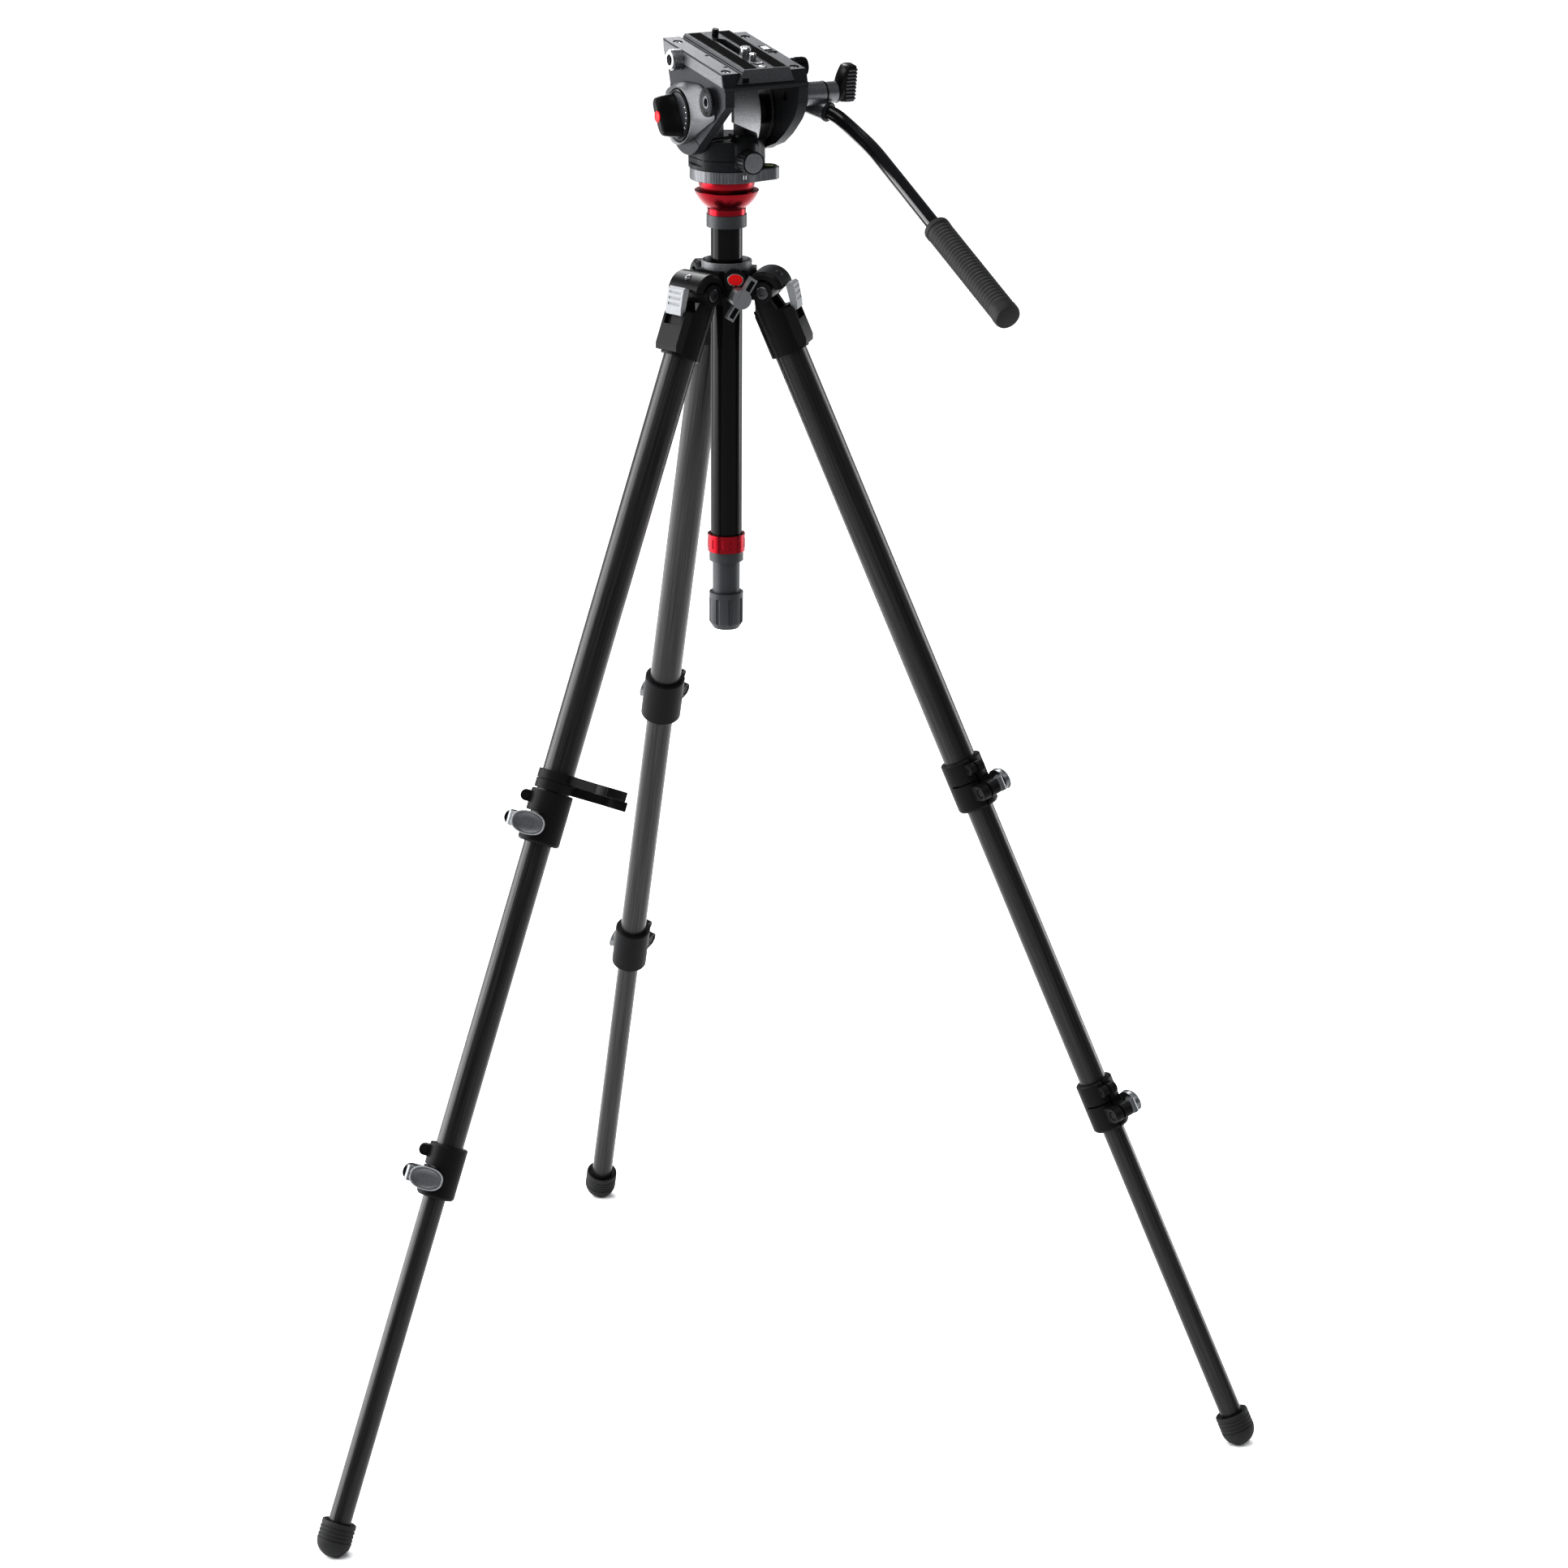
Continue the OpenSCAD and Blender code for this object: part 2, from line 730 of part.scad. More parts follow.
module casting(i) {
    web_y = 9.6;
    color(BLACK) at_leg(i) difference() {
        union() {
            rod_y(ear_r, -ear_half_w, ear_half_w);
            intersection() {
                across_y(sleeve_r)
                    polygon([[-9.3, 0], [-12.3, -9.1], [-14.7, -13.6], [-21, -14.5], [-21, -30],
                             [16, -30], [16, -19.5], [4.9, -18.9], [2.4, -9], [0, 0]]);
                translate([-leg_inset, 0, 0]) rod_z(sleeve_r, -40, 5);
            }
            translate([-leg_inset, 0, 0]) rod_z(sleeve_r, -casting_end_s, -19);
            // raised track of the angle latch
            across_y(12.6) polygon([[6, -20.5], [17.2, -20.5], [18.8, -24], [18.8, -52],
                                    [16.8, -57], [6, -57]]);
        }
        box([-30, -web_y, -19], [30, web_y, 12]);
        translate([-leg_inset, 0, 0]) rod_z(upper_r + run, -casting_end_s - 1, -tube_start_s + 0.5);
        rod_y(hinge_bolt_r + run, -30, 30);
        for (side = [-1, 1]) translate([0, side * ear_half_w, 0]) rod_y(6.2, -1.6, 1.6);
        // track
        box([15.2, -9.8, -34], [30, 9.8, -10]);
    }
}

module latch(i) {
    color(SILVER) at_leg(i) difference() {
        across_y(9.4)
            polygon([[19.4, -1.4], [24.6, -1.4], [26, -4], [22.8, -20], [20.8, -25.5],
                     [15.6, -25.5], [16.6, -19]]);
        for (s = [7, 12, 17]) translate([27.2 - 0.2 * s, 0, -s]) rod_y(1.1, -7, 7);
    }
}

module leg_clamp(i, s, r_out, r_top, r_low) {
    ear_x = r_out + 9.2;
    bolt_x = r_out + 3;
    upper_z = -8.5;
    lower_z = -31;
    color(BLACK) at_clamp(i, s) difference() {
        union() {
            rod_z(r_out, -clamp_len + 2, -1);
            translate([0, 0, -1]) cylinder(r1 = r_out, r2 = r_out - 1, h = 1);
            translate([0, 0, -clamp_len]) cylinder(r1 = r_out - 1.5, r2 = r_out, h = 2);
            translate([0, 0, upper_z]) {
                box([10, -7.5, -5], [bolt_x, 7.5, 5]);
                translate([bolt_x, 0, 0]) rod_y(5, -7.5, 7.5);
            }
            translate([0, 0, lower_z]) {
                box([8, -9, -7], [ear_x, 9, 7]);
                translate([ear_x, 0, 0]) rod_y(7, -9, 9);
            }
        }
        rod_z(r_top + run, -22.2, 1);
        rod_z(r_low + run, -clamp_len - 1, -22);
        box([0, -0.9, -clamp_len - 1], [50, 0.9, 1]);
        // cross slit between the fixed and the pinching band
        box([2, -30, -21.4], [50, 30, -19.8]);
        translate([bolt_x, 0, upper_z]) {
            rod_y(1.8, -12, 12);
            rod_y(3.3, 5.5, 12);
        }
        translate([ear_x, 0, lower_z]) {
            rod_y(2.2, -12, 12);
            rod_y(4.4, -12, -6.5);
        }
    }
    // pinch bolt and the lever's draw pin
    color(SILVER) at_clamp(i, s) {
        translate([bolt_x, 0, upper_z]) {
            rod_y(1.7, -7, 6);
            rod_y(3.1, 5.6, 8);
        }
        translate([ear_x, 0, lower_z]) {
            rod_y(2.1, -7.5, 8.9);
            rod_y(3.6, -8.6, -6.6);
        }
    }
}

module clamp_lever(i, s, r_out) {
    ear_x = r_out + 9.2;
    pivot_y = 13.6;
    face_y = r_out + 5.8;
    color(GREY) at_clamp(i, s) translate([0, 0, -31]) {
        // barrel around the cam pin, parallel to the tube
        translate([ear_x, pivot_y, 0]) rod_z(4.2, -6.5, 6.5);
        translate([ear_x, pivot_y, -6.5]) rotate(atan2(face_y - 4.6 - pivot_y, -8))
            linear_extrude(13) lobe(4.2, 3, norm([8, face_y - 4.6 - pivot_y]));
        translate([ear_x - 14.5, 0, 0]) difference() {
            oval_y(30, 20.6, face_y - 5, face_y);
            oval_y(26, 16.6, face_y - 1.2, face_y + 1);
        }
    }
}

module foot(i) {
    color(BLACK) difference() {
        on_tube(i, foot_s) difference() {
            union() {
                rod_z(foot_r, 0, foot_s - foot_rim_s);
                sphere(foot_r);
            }
            rod_z(low_r + run, 1.9, 40);
            rod_z(foot_r - 2, foot_s - foot_rim_s - 4, 40);
        }
        box([-600, -600, -50], [600, 600, 0]);
    }
}

module leg_part(i, part) {
    upper_out = 18.8;
    lower_out = 17;
    if (part == "casting") casting(i);
    if (part == "upper_tube") color(CARBON) on_tube(i, tube_start_s)
        pipe(upper_r, mid_r + tube_wall_run / 2, upper_end_s - tube_start_s);
    if (part == "latch") latch(i);
    if (part == "upper_clamp") leg_clamp(i, upper_clamp_s, upper_out, upper_r, mid_r);
    if (part == "upper_lever") clamp_lever(i, upper_clamp_s, upper_out);
    if (part == "mid_tube") color(CARBON) on_tube(i, mid_top_s)
        pipe(mid_r, low_r + tube_wall_run / 2, mid_end_s - mid_top_s);
    if (part == "lower_clamp") leg_clamp(i, lower_clamp_s, lower_out, mid_r, low_r);
    if (part == "lower_lever") clamp_lever(i, lower_clamp_s, lower_out);
    if (part == "low_tube") color(CARBON) on_tube(i, low_top_s)
        pipe(low_r, low_r - 1.5, low_end_s - low_top_s);
    if (part == "foot") foot(i);
}

// Two snap rings on the left leg, each with a claw for another leg's tube when folded
module leg_clip() {
    ring_h = 8.4;
    reach = 61.5;
    color(BLACK) for (ring = [[0, 100], [1, 138]]) on_tube(1, upper_clamp_s - 18.2 + ring[0] * 8.7)
        rotate(ring[1]) difference() {
            union() {
                rod_z(upper_r + 2.8, -ring_h, 0);
                box([upper_r, -4.5, -ring_h], [reach - upper_r - 1, 4.5, 0]);
                intersection() {
                    translate([reach, 0, 0]) rod_z(upper_r + 2.8, -ring_h, 0);
                    box([0, -20, -ring_h], [reach + 3, 20, 0]);
                }
            }
            rod_z(upper_r + run, -ring_h - 1, 1);
            translate([reach, 0, 0]) rod_z(upper_r + 0.2, -ring_h - 1, 1);
        }
}

// ---- assembly -----------------------------------------------------------------------------

spider();
hinge_bolts();
column_lock_knob();
column_tube();
column_collars();
level_bowl();
unlock_ring();
level_grip();
level_cross();
half_ball();
head_base();
pan_housing();
tilt_axle();
pan_lock_knob();
receiver();
left_cheek();
right_cheek();
drag_cover();
accessory_socket();
tilt_lock_knob();
plate_lock_knob();
release_button();
quick_plate();
screw_38();
screw_14();
bar_clamp();
pan_bar();
bar_grip();
bar_knob();
leg_clip();
for (i = [0:2]) for (part = LEG_PARTS)
    leg_part(i, part);
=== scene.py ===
import json
from math import atan2, cos, pi, radians, sin

import bmesh
import bpy
from mathutils import Matrix, Vector


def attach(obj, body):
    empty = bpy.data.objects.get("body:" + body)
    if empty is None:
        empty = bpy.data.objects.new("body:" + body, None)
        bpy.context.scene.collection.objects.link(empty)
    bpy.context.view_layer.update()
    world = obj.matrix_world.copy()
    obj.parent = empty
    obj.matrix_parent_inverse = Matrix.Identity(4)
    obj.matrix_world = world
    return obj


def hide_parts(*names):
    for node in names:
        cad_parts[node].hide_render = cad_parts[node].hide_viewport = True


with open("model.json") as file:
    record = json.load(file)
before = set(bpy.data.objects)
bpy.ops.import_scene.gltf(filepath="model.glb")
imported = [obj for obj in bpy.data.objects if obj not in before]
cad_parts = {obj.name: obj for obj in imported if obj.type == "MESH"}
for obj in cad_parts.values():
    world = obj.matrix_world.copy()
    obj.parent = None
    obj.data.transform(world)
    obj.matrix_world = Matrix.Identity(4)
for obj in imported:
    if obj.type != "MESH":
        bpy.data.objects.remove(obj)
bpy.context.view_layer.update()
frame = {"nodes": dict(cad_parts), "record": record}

MM = 0.001
NODES = frame["nodes"]
RECORD = frame["record"]
JOINTS = {j["name"]: j for j in RECORD["behaviour"]["joints"]}
BODY_OF = {n: b for b, nodes in RECORD["behaviour"]["bodies"].items() for n in nodes}
SLOT_OF = {s["node"]: s["material_slot"] for s in RECORD["subparts"]}
LEGS = ["rear", "left", "right"]
LEG_TURN = {"rear": 90, "left": 210, "right": 330}   # degrees about the column


# ---- frames: matrices from local millimetres to the row's metres -------------------------------

def basis(x, y, z, at):
    axes = Matrix((x, y, z)).transposed().to_4x4()
    return Matrix.Translation(at) @ axes @ Matrix.Scale(MM, 4)


def joint_pos(name):
    return Vector(JOINTS[name]["pos_m"])


def joint_axis(name):
    return Vector(JOINTS[name]["axis"]).normalized()


def spin(degrees, axis="Z"):
    return Matrix.Rotation(radians(degrees), 4, axis)


def shift(x, y, z):
    return Matrix.Translation((x, y, z))


def facing(at, direction):
    """Frame in the same units at a point, with Z along a direction."""
    turn = Vector(direction).to_track_quat("Z", "Y").to_matrix().to_4x4()
    return Matrix.Translation(at) @ turn


# COLUMN stands on the floor under the column. PAN is the same, turned with the head. TILT has its
# origin on the tilt axis, with X to the right along it, Y to the lens and Z up out of the plate.
UP = Vector((0, 0, 1))
COLUMN_AT = Vector((joint_pos("pan").x, joint_pos("pan").y, 0))
COLUMN = basis((1, 0, 0), (0, 1, 0), (0, 0, 1), COLUMN_AT)
to_right = joint_axis("tilt")
deck_up = joint_axis("screw_38_turn")
PAN = basis(to_right, UP.cross(to_right), UP, COLUMN_AT)
TILT = basis(to_right, deck_up.cross(to_right), deck_up, joint_pos("tilt"))
ALONG_X = Matrix(((0, 0, 1, 0), (1, 0, 0, 0), (0, 1, 0, 0), (0, 0, 0, 1)))  # local Z becomes X

LEG_INSET = 2.85     # from the leg's hinge to its tube's axis
CLAMP_TURN = -46     # degrees about the tube
CLAMP_DOWN = {"upper": 455.6, "lower": 778.4}
CLAMP_RADIUS = {"upper": 18.8, "lower": 17.0}
LEG_FRAME = {}
TUBE = {}
for leg in LEGS:
    down = joint_axis(leg + "_middle_slide")
    tangent = -joint_axis(leg + "_leg_spread")
    LEG_FRAME[leg] = basis(tangent.cross(-down), tangent, -down, joint_pos(leg + "_leg_spread"))
    TUBE[leg] = LEG_FRAME[leg] @ shift(-LEG_INSET, 0, 0)


def clamp_frame(leg, which):
    return TUBE[leg] @ shift(0, 0, -CLAMP_DOWN[which]) @ spin(CLAMP_TURN)


def leg_turn(leg):
    return spin(LEG_TURN[leg])


# ---- materials ----------------------------------------------------------------------------------

def surface(name, color, rough, metal=0.0, coat=0.0, grain=(900, 900, 900), vary=0.1, bump=0.1,
            depth=0.0002, rough_vary=0.08, spec=0.5, place=None):
    """Principled material whose colour, roughness and normal follow one noise pattern."""
    made = bpy.data.materials.new(name)
    made.use_nodes = True
    tree = made.node_tree
    shader = tree.nodes["Principled BSDF"]
    shader.inputs["Metallic"].default_value = metal
    shader.inputs["Specular IOR Level"].default_value = spec
    shader.inputs["Coat Weight"].default_value = coat
    shader.inputs["Coat Roughness"].default_value = 0.12
    link = tree.links.new
    where = tree.nodes.new("ShaderNodeTexCoord").outputs["Object"]
    if place is not None:
        local = tree.nodes.new("ShaderNodeMapping")
        local.vector_type = "TEXTURE"
        local.inputs["Location"].default_value = place.translation
        local.inputs["Rotation"].default_value = place.to_euler()
        link(where, local.inputs["Vector"])
        where = local.outputs["Vector"]
    scale = tree.nodes.new("ShaderNodeMapping")
    scale.inputs["Scale"].default_value = grain
    link(where, scale.inputs["Vector"])
    noise = tree.nodes.new("ShaderNodeTexNoise")
    noise.inputs["Scale"].default_value = 1.0
    noise.inputs["Detail"].default_value = 3.0
    link(scale.outputs["Vector"], noise.inputs["Vector"])
    mix = tree.nodes.new("ShaderNodeMix")
    mix.data_type = "RGBA"
    mix.inputs["A"].default_value = (*[c * (1 - vary) for c in color], 1)
    mix.inputs["B"].default_value = (*[min(1, c * (1 + vary)) for c in color], 1)
    spread = tree.nodes.new("ShaderNodeMapRange")
    spread.inputs["From Min"].default_value = 0.35
    spread.inputs["From Max"].default_value = 0.65
    link(noise.outputs["Fac"], spread.inputs["Value"])
    link(spread.outputs["Result"], mix.inputs["Factor"])
    link(mix.outputs["Result"], shader.inputs["Base Color"])
    polish = tree.nodes.new("ShaderNodeMapRange")
    polish.inputs["To Min"].default_value = max(0.02, rough - rough_vary)
    polish.inputs["To Max"].default_value = min(1, rough + rough_vary)
    link(noise.outputs["Fac"], polish.inputs["Value"])
    link(polish.outputs["Result"], shader.inputs["Roughness"])
    relief = tree.nodes.new("ShaderNodeBump")
    relief.inputs["Strength"].default_value = bump
    relief.inputs["Distance"].default_value = depth
    link(noise.outputs["Fac"], relief.inputs["Height"])
    link(relief.outputs["Normal"], shader.inputs["Normal"])
    return made


FINE = (1300, 1300, 1300)
LOOK = {
    "black_casting": surface("satin_black", (0.012, 0.012, 0.013), 0.3, grain=(1500,) * 3, bump=0.2,
                             spec=0.13),
    "clamp_black": surface("moulded_black", (0.011, 0.011, 0.012), 0.42, grain=(1800,) * 3, bump=0.3,
                           spec=0.13),
    "lever_grey": surface("lever_satin", (0.17, 0.174, 0.18), 0.34, metal=0.7, bump=0.12, spec=0.3),
    "silver_tab": surface("bead_silver", (0.25, 0.255, 0.263), 0.55, metal=0.1, bump=0.1, spec=0.3),
    "bright_steel": surface("bright_steel", (0.52, 0.52, 0.53), 0.25, metal=1.0, vary=0.03, bump=0.03),
    "dark_bolt": surface("dark_steel", (0.09, 0.09, 0.095), 0.3, metal=0.9, bump=0.06),
    "column_black": surface("gloss_anodised", (0.006, 0.006, 0.007), 0.14, grain=(300, 300, 2500),
                            bump=0.04, rough_vary=0.03, spec=0.14),
    "dark_plastic": surface("grey_plastic", (0.035, 0.037, 0.041), 0.45, grain=(2000,) * 3, bump=0.3,
                            spec=0.4),
    "red_anodised": surface("red_anodised", (0.2, 0.004, 0.013), 0.28, metal=0.9, coat=0.1,
                            grain=(200, 200, 3000), bump=0.06, rough_vary=0.04),
    "base_silver": surface("brushed_silver", (0.11, 0.112, 0.118), 0.42, metal=0.85,
                           grain=(900, 900, 40), vary=0.3, bump=0.15),
    "head_black": surface("speckled_black", (0.016, 0.017, 0.019), 0.36, grain=FINE, vary=0.35,
                          bump=0.3, spec=0.15),
    "head_grey": surface("speckled_grey", (0.024, 0.025, 0.028), 0.38, metal=0.15, grain=FINE,
                         vary=0.35, bump=0.3, spec=0.2),
    "rail_grey": surface("rail_satin", (0.12, 0.122, 0.128), 0.34, metal=0.7, grain=FINE, vary=0.18,
                         bump=0.2, spec=0.4),
    "light_grey": surface("light_die_cast", (0.12, 0.122, 0.127), 0.45, metal=0.4, grain=FINE,
                          vary=0.3, bump=0.25, spec=0.35),
    "neck_grey": surface("neck_die_cast", (0.46, 0.465, 0.475), 0.36, metal=0.5, grain=FINE, vary=0.2,
                         bump=0.2),
    "clamp_metal": surface("clamp_metal", (0.2, 0.202, 0.21), 0.28, metal=0.8, grain=FINE, vary=0.2,
                           bump=0.15),
    "cover_grey": surface("cover_grey", (0.09, 0.092, 0.096), 0.42, metal=0.4, grain=FINE, vary=0.25,
                          bump=0.18, spec=0.35),
    "knob_black": surface("knob_black", (0.008, 0.008, 0.009), 0.3, grain=(1500,) * 3, bump=0.12,
                          spec=0.16),
    "plate_grey": surface("plate_anodised", (0.055, 0.057, 0.061), 0.34, metal=0.6,
                          grain=(1500,) * 3, vary=0.25, bump=0.22, spec=0.4),
    "bar_black": surface("bar_gloss", (0.006, 0.006, 0.007), 0.15, bump=0.03, rough_vary=0.03),
    "rubber": surface("soft_rubber", (0.005, 0.005, 0.0055), 0.85, grain=(2200,) * 3, bump=0.4,
                      spec=0.05),
    "grip_rubber": surface("grip_rubber", (0.022, 0.022, 0.023), 0.6, grain=(2200,) * 3, vary=0.3,
                           bump=0.4, spec=0.3),
    # near black: painted shade for grooves, notches and hole walls, and also used for dark seams, a printed
    # ring and the lock knob's panels
    "dark_hollow": surface("dark_hollow", (0.003, 0.003, 0.003), 0.8, spec=0.1),
    "red_plain": surface("red_enamel", (0.6, 0.006, 0.01), 0.4, spec=0.3, vary=0.04, bump=0.02),
    "white_mark": surface("white_mark", (0.75, 0.76, 0.77), 0.5, vary=0.05, bump=0.05),
    "bubble_green": surface("bubble_green", (0.3, 0.5, 0.04), 0.12, coat=0.8, vary=0.08, bump=0.02),
}
CARBON_GRAIN = (1100, 1100, 9)
CARBON = {leg: surface("carbon_" + leg, (0.02, 0.0195, 0.0195), 0.34, metal=0.35, coat=0.12,
                       grain=CARBON_GRAIN, vary=0.6, bump=0.22, depth=0.0001, rough_vary=0.1,
                       place=LEG_FRAME[leg].normalized())
          for leg in LEGS}


def look_for(node):
    slot = SLOT_OF[node]
    return CARBON[node.split("_")[0]] if slot == "carbon" else LOOK[slot]


for node, obj in NODES.items():
    obj.data.materials.clear()
    obj.data.materials.append(look_for(node))


# ---- mesh kit: a part is (points, faces) in local millimetres ----------------------------------

def lathe(profile, n=48, loop=False):
    """Turned part around Z through (radius, z) points; loop joins the last point to the first."""
    points, rings, faces = [], [], []
    for r, z in profile:
        count = 1 if r < 1e-6 else n
        rings.append(range(len(points), len(points) + count))
        points += [(r * cos(2 * pi * i / n), r * sin(2 * pi * i / n), z) for i in range(count)]
    pairs = list(zip(rings, rings[1:]))
    if loop:
        pairs.append((rings[-1], rings[0]))
    for a, b in pairs:
        for i in range(n):
            j = (i + 1) % n
            ring = [a[i % len(a)], a[j % len(a)], b[j % len(b)], b[i % len(b)]]
            face = list(dict.fromkeys(ring))
            if len(face) > 2:
                faces.append(face)
    if not loop:
        faces += [list(ring) for ring in (rings[0], rings[-1]) if len(ring) > 1]
    return points, faces


def loft(rings, cap=True):
    """Skin through rings of equally many (x, y, z) points."""
    n = len(rings[0])
    points = [tuple(p) for ring in rings for p in ring]
    faces = [[k * n + i, k * n + (i + 1) % n, (k + 1) * n + (i + 1) % n, (k + 1) * n + i]
             for k in range(len(rings) - 1) for i in range(n)]
    if cap:
        faces += [list(range(n)), list(range(len(points) - n, len(points)))]
    return points, faces


def prism(outline, z0, z1):
    return loft([[(x, y, z) for x, y in outline] for z in (z0, z1)])


def slab(lo, hi):
    (x0, y0, z0), (x1, y1, z1) = lo, hi
    return prism([(x0, y0), (x1, y0), (x1, y1), (x0, y1)], z0, z1)


def moved(part, *matrices):
    points, faces = part
    for m in reversed(matrices):
        points = [tuple(m @ Vector(p)) for p in points]
    return points, faces


def sweep(path, radius, n):
    """Round tube along points."""
    path = [Vector(p) for p in path]
    side = None
    rings = []
    for k, at in enumerate(path):
        way = (path[min(k + 1, len(path) - 1)] - path[max(k - 1, 0)]).normalized()
        side = way.orthogonal() if side is None else side - side.project(way)
        side.normalize()
        other = way.cross(side)
        rings.append([at + radius * (cos(2 * pi * i / n) * side + sin(2 * pi * i / n) * other)
                      for i in range(n)])
    return loft(rings)


def rounded_path(corners, cut, steps):
    """Polyline whose inner corners are replaced by smooth bends."""
    corners = [Vector(c) for c in corners]
    path = [corners[0]]
    for a, b, c in zip(corners, corners[1:], corners[2:]):
        reach = min(cut, (b - a).length * 0.48, (c - b).length * 0.48)
        p, q = b + (a - b).normalized() * reach, b + (c - b).normalized() * reach
        path += [p.lerp(b, t / steps).lerp(b.lerp(q, t / steps), t / steps) for t in range(steps + 1)]
    return path + [corners[-1]]


def closed_curve(corners, per):
    """Catmull-Rom loop through 2-D corners."""
    n = len(corners)
    out = []
    for i in range(n):
        p0, p1, p2, p3 = (Vector(corners[(i + k - 1) % n]) for k in range(4))
        for s in range(per):
            t = s / per
            out.append(0.5 * (2 * p1 + (p2 - p0) * t + (2 * p0 - 5 * p1 + 4 * p2 - p3) * t * t
                              + (3 * p1 - p0 - 3 * p2 + p3) * t ** 3))
    return out


CREASE = 35      # degrees: an edge that bends more is a crease, and is the one that gets rounded
COPLANAR = 1.0   # degrees: CAD faces within this are joined before the rounding


def finish_mesh(mesh, sharp=CREASE):
    """Outward normals, smooth faces and sharp creases."""
    work = bmesh.new()
    work.from_mesh(mesh)
    bmesh.ops.recalc_face_normals(work, faces=work.faces)
    for face in work.faces:
        face.smooth = True
    for edge in work.edges:
        if len(edge.link_faces) == 2:
            edge.smooth = edge.calc_face_angle(0) < radians(sharp)
    work.to_mesh(mesh)
    work.free()


def round_edges(obj, width, segments=2):
    bevel = obj.modifiers.new("rounded", "BEVEL")
    bevel.width = width * MM
    bevel.segments = segments
    bevel.limit_method = "ANGLE"
    bevel.angle_limit = radians(CREASE)
    bevel.harden_normals = True


def add(name, parts, where, body, look, bevel=0, hides=(), sharp=CREASE):
    """New visible piece from parts drawn in a local frame, riding on a body."""
    points, faces = [], []
    for part_points, part_faces in (parts if isinstance(parts, list) else [parts]):
        faces += [[i + len(points) for i in face] for face in part_faces]
        points += part_points
    mesh = bpy.data.meshes.new(name)
    mesh.from_pydata([tuple(where @ Vector(p)) for p in points], [], faces)
    finish_mesh(mesh, sharp)
    obj = bpy.data.objects.new(name, mesh)
    bpy.context.collection.objects.link(obj)
    if bevel:
        round_edges(obj, bevel)
    mesh.materials.append(LOOK[look])
    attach(obj, body)
    if hides:
        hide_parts(*hides)
    return obj


def soften(node, width, segments=2, look=None):
    """Copy of a CAD node with its edges rounded, standing for the node."""
    mesh = NODES[node].data.copy()
    mesh.name = node + "_soft"
    work = bmesh.new()
    work.from_mesh(mesh)
    bmesh.ops.remove_doubles(work, verts=work.verts, dist=1e-6)
    bmesh.ops.dissolve_limit(work, angle_limit=radians(COPLANAR), verts=work.verts, edges=work.edges)
    for face in work.faces:
        face.smooth = True
    for edge in work.edges:
        edge.smooth = len(edge.link_faces) != 2 or edge.calc_face_angle(0) < radians(CREASE)
    work.to_mesh(mesh)
    work.free()
    obj = bpy.data.objects.new(node + "_soft", mesh)
    bpy.context.collection.objects.link(obj)
    round_edges(obj, width, segments)
    if look:
        mesh.materials[0] = LOOK[look]
    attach(obj, BODY_OF[node])
    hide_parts(node)
    return obj


def dome(r, z0, z1, crown):
    """Low round button: straight to z1, then a crown of that height."""
    top = [(r * cos(t), z1 + crown * sin(t)) for t in [radians(a) for a in range(0, 90, 15)]]
    return lathe([(r, z0)] + top + [(0, z1 + crown)], 40)


# ---- camera, floor and light --------------------------------------------------------------------

CAMERA_TURN = radians(-16.205)    # about the column
CAMERA_RISE = 0.3073              # radians above level
CAMERA_ROLL = 0.0048
CAMERA_DISTANCE = 4.33317
AIM_ASIDE, AIM_HEIGHT = 0.05271, 0.60006   # the point looked at, to the column's right and up
FOCAL_LENGTH, SENSOR_WIDTH = 109.27, 36.0
FLOOR_SIZE = 400                  # so wide that its edge stays out of sight from above


def make_camera():
    side = Vector((cos(CAMERA_TURN), sin(CAMERA_TURN), 0))
    target = COLUMN_AT + AIM_ASIDE * side + AIM_HEIGHT * UP
    back = Vector((sin(CAMERA_TURN) * cos(CAMERA_RISE), -cos(CAMERA_TURN) * cos(CAMERA_RISE),
                   sin(CAMERA_RISE)))
    up = back.cross(side)
    x = cos(CAMERA_ROLL) * side + sin(CAMERA_ROLL) * up
    y = cos(CAMERA_ROLL) * up - sin(CAMERA_ROLL) * side
    data = bpy.data.cameras.new("camera")
    data.lens, data.sensor_width, data.clip_end = FOCAL_LENGTH, SENSOR_WIDTH, 50
    camera = bpy.data.objects.new("camera", data)
    rotation = Matrix((x, y, back)).transposed().to_4x4()
    camera.matrix_world = Matrix.Translation(target + back * CAMERA_DISTANCE) @ rotation
    bpy.context.collection.objects.link(camera)
    bpy.context.scene.camera = camera


def area_light(name, at, aim, size, power):
    data = bpy.data.lights.new(name, "AREA")
    data.shape = "RECTANGLE"
    data.size, data.size_y = size
    data.energy = power
    lamp = bpy.data.objects.new(name, data)
    direction = Vector(aim) - Vector(at)
    lamp.matrix_world = (Matrix.Translation(at)
                         @ direction.to_track_quat("-Z", "Y").to_matrix().to_4x4())
    bpy.context.collection.objects.link(lamp)


def soft_sun(strength, spread, direction):
    data = bpy.data.lights.new("sun", "SUN")
    data.energy, data.angle = strength, radians(spread)
    sun = bpy.data.objects.new("sun", data)
    sun.matrix_world = Vector(direction).to_track_quat("-Z", "Y").to_matrix().to_4x4()
    bpy.context.collection.objects.link(sun)


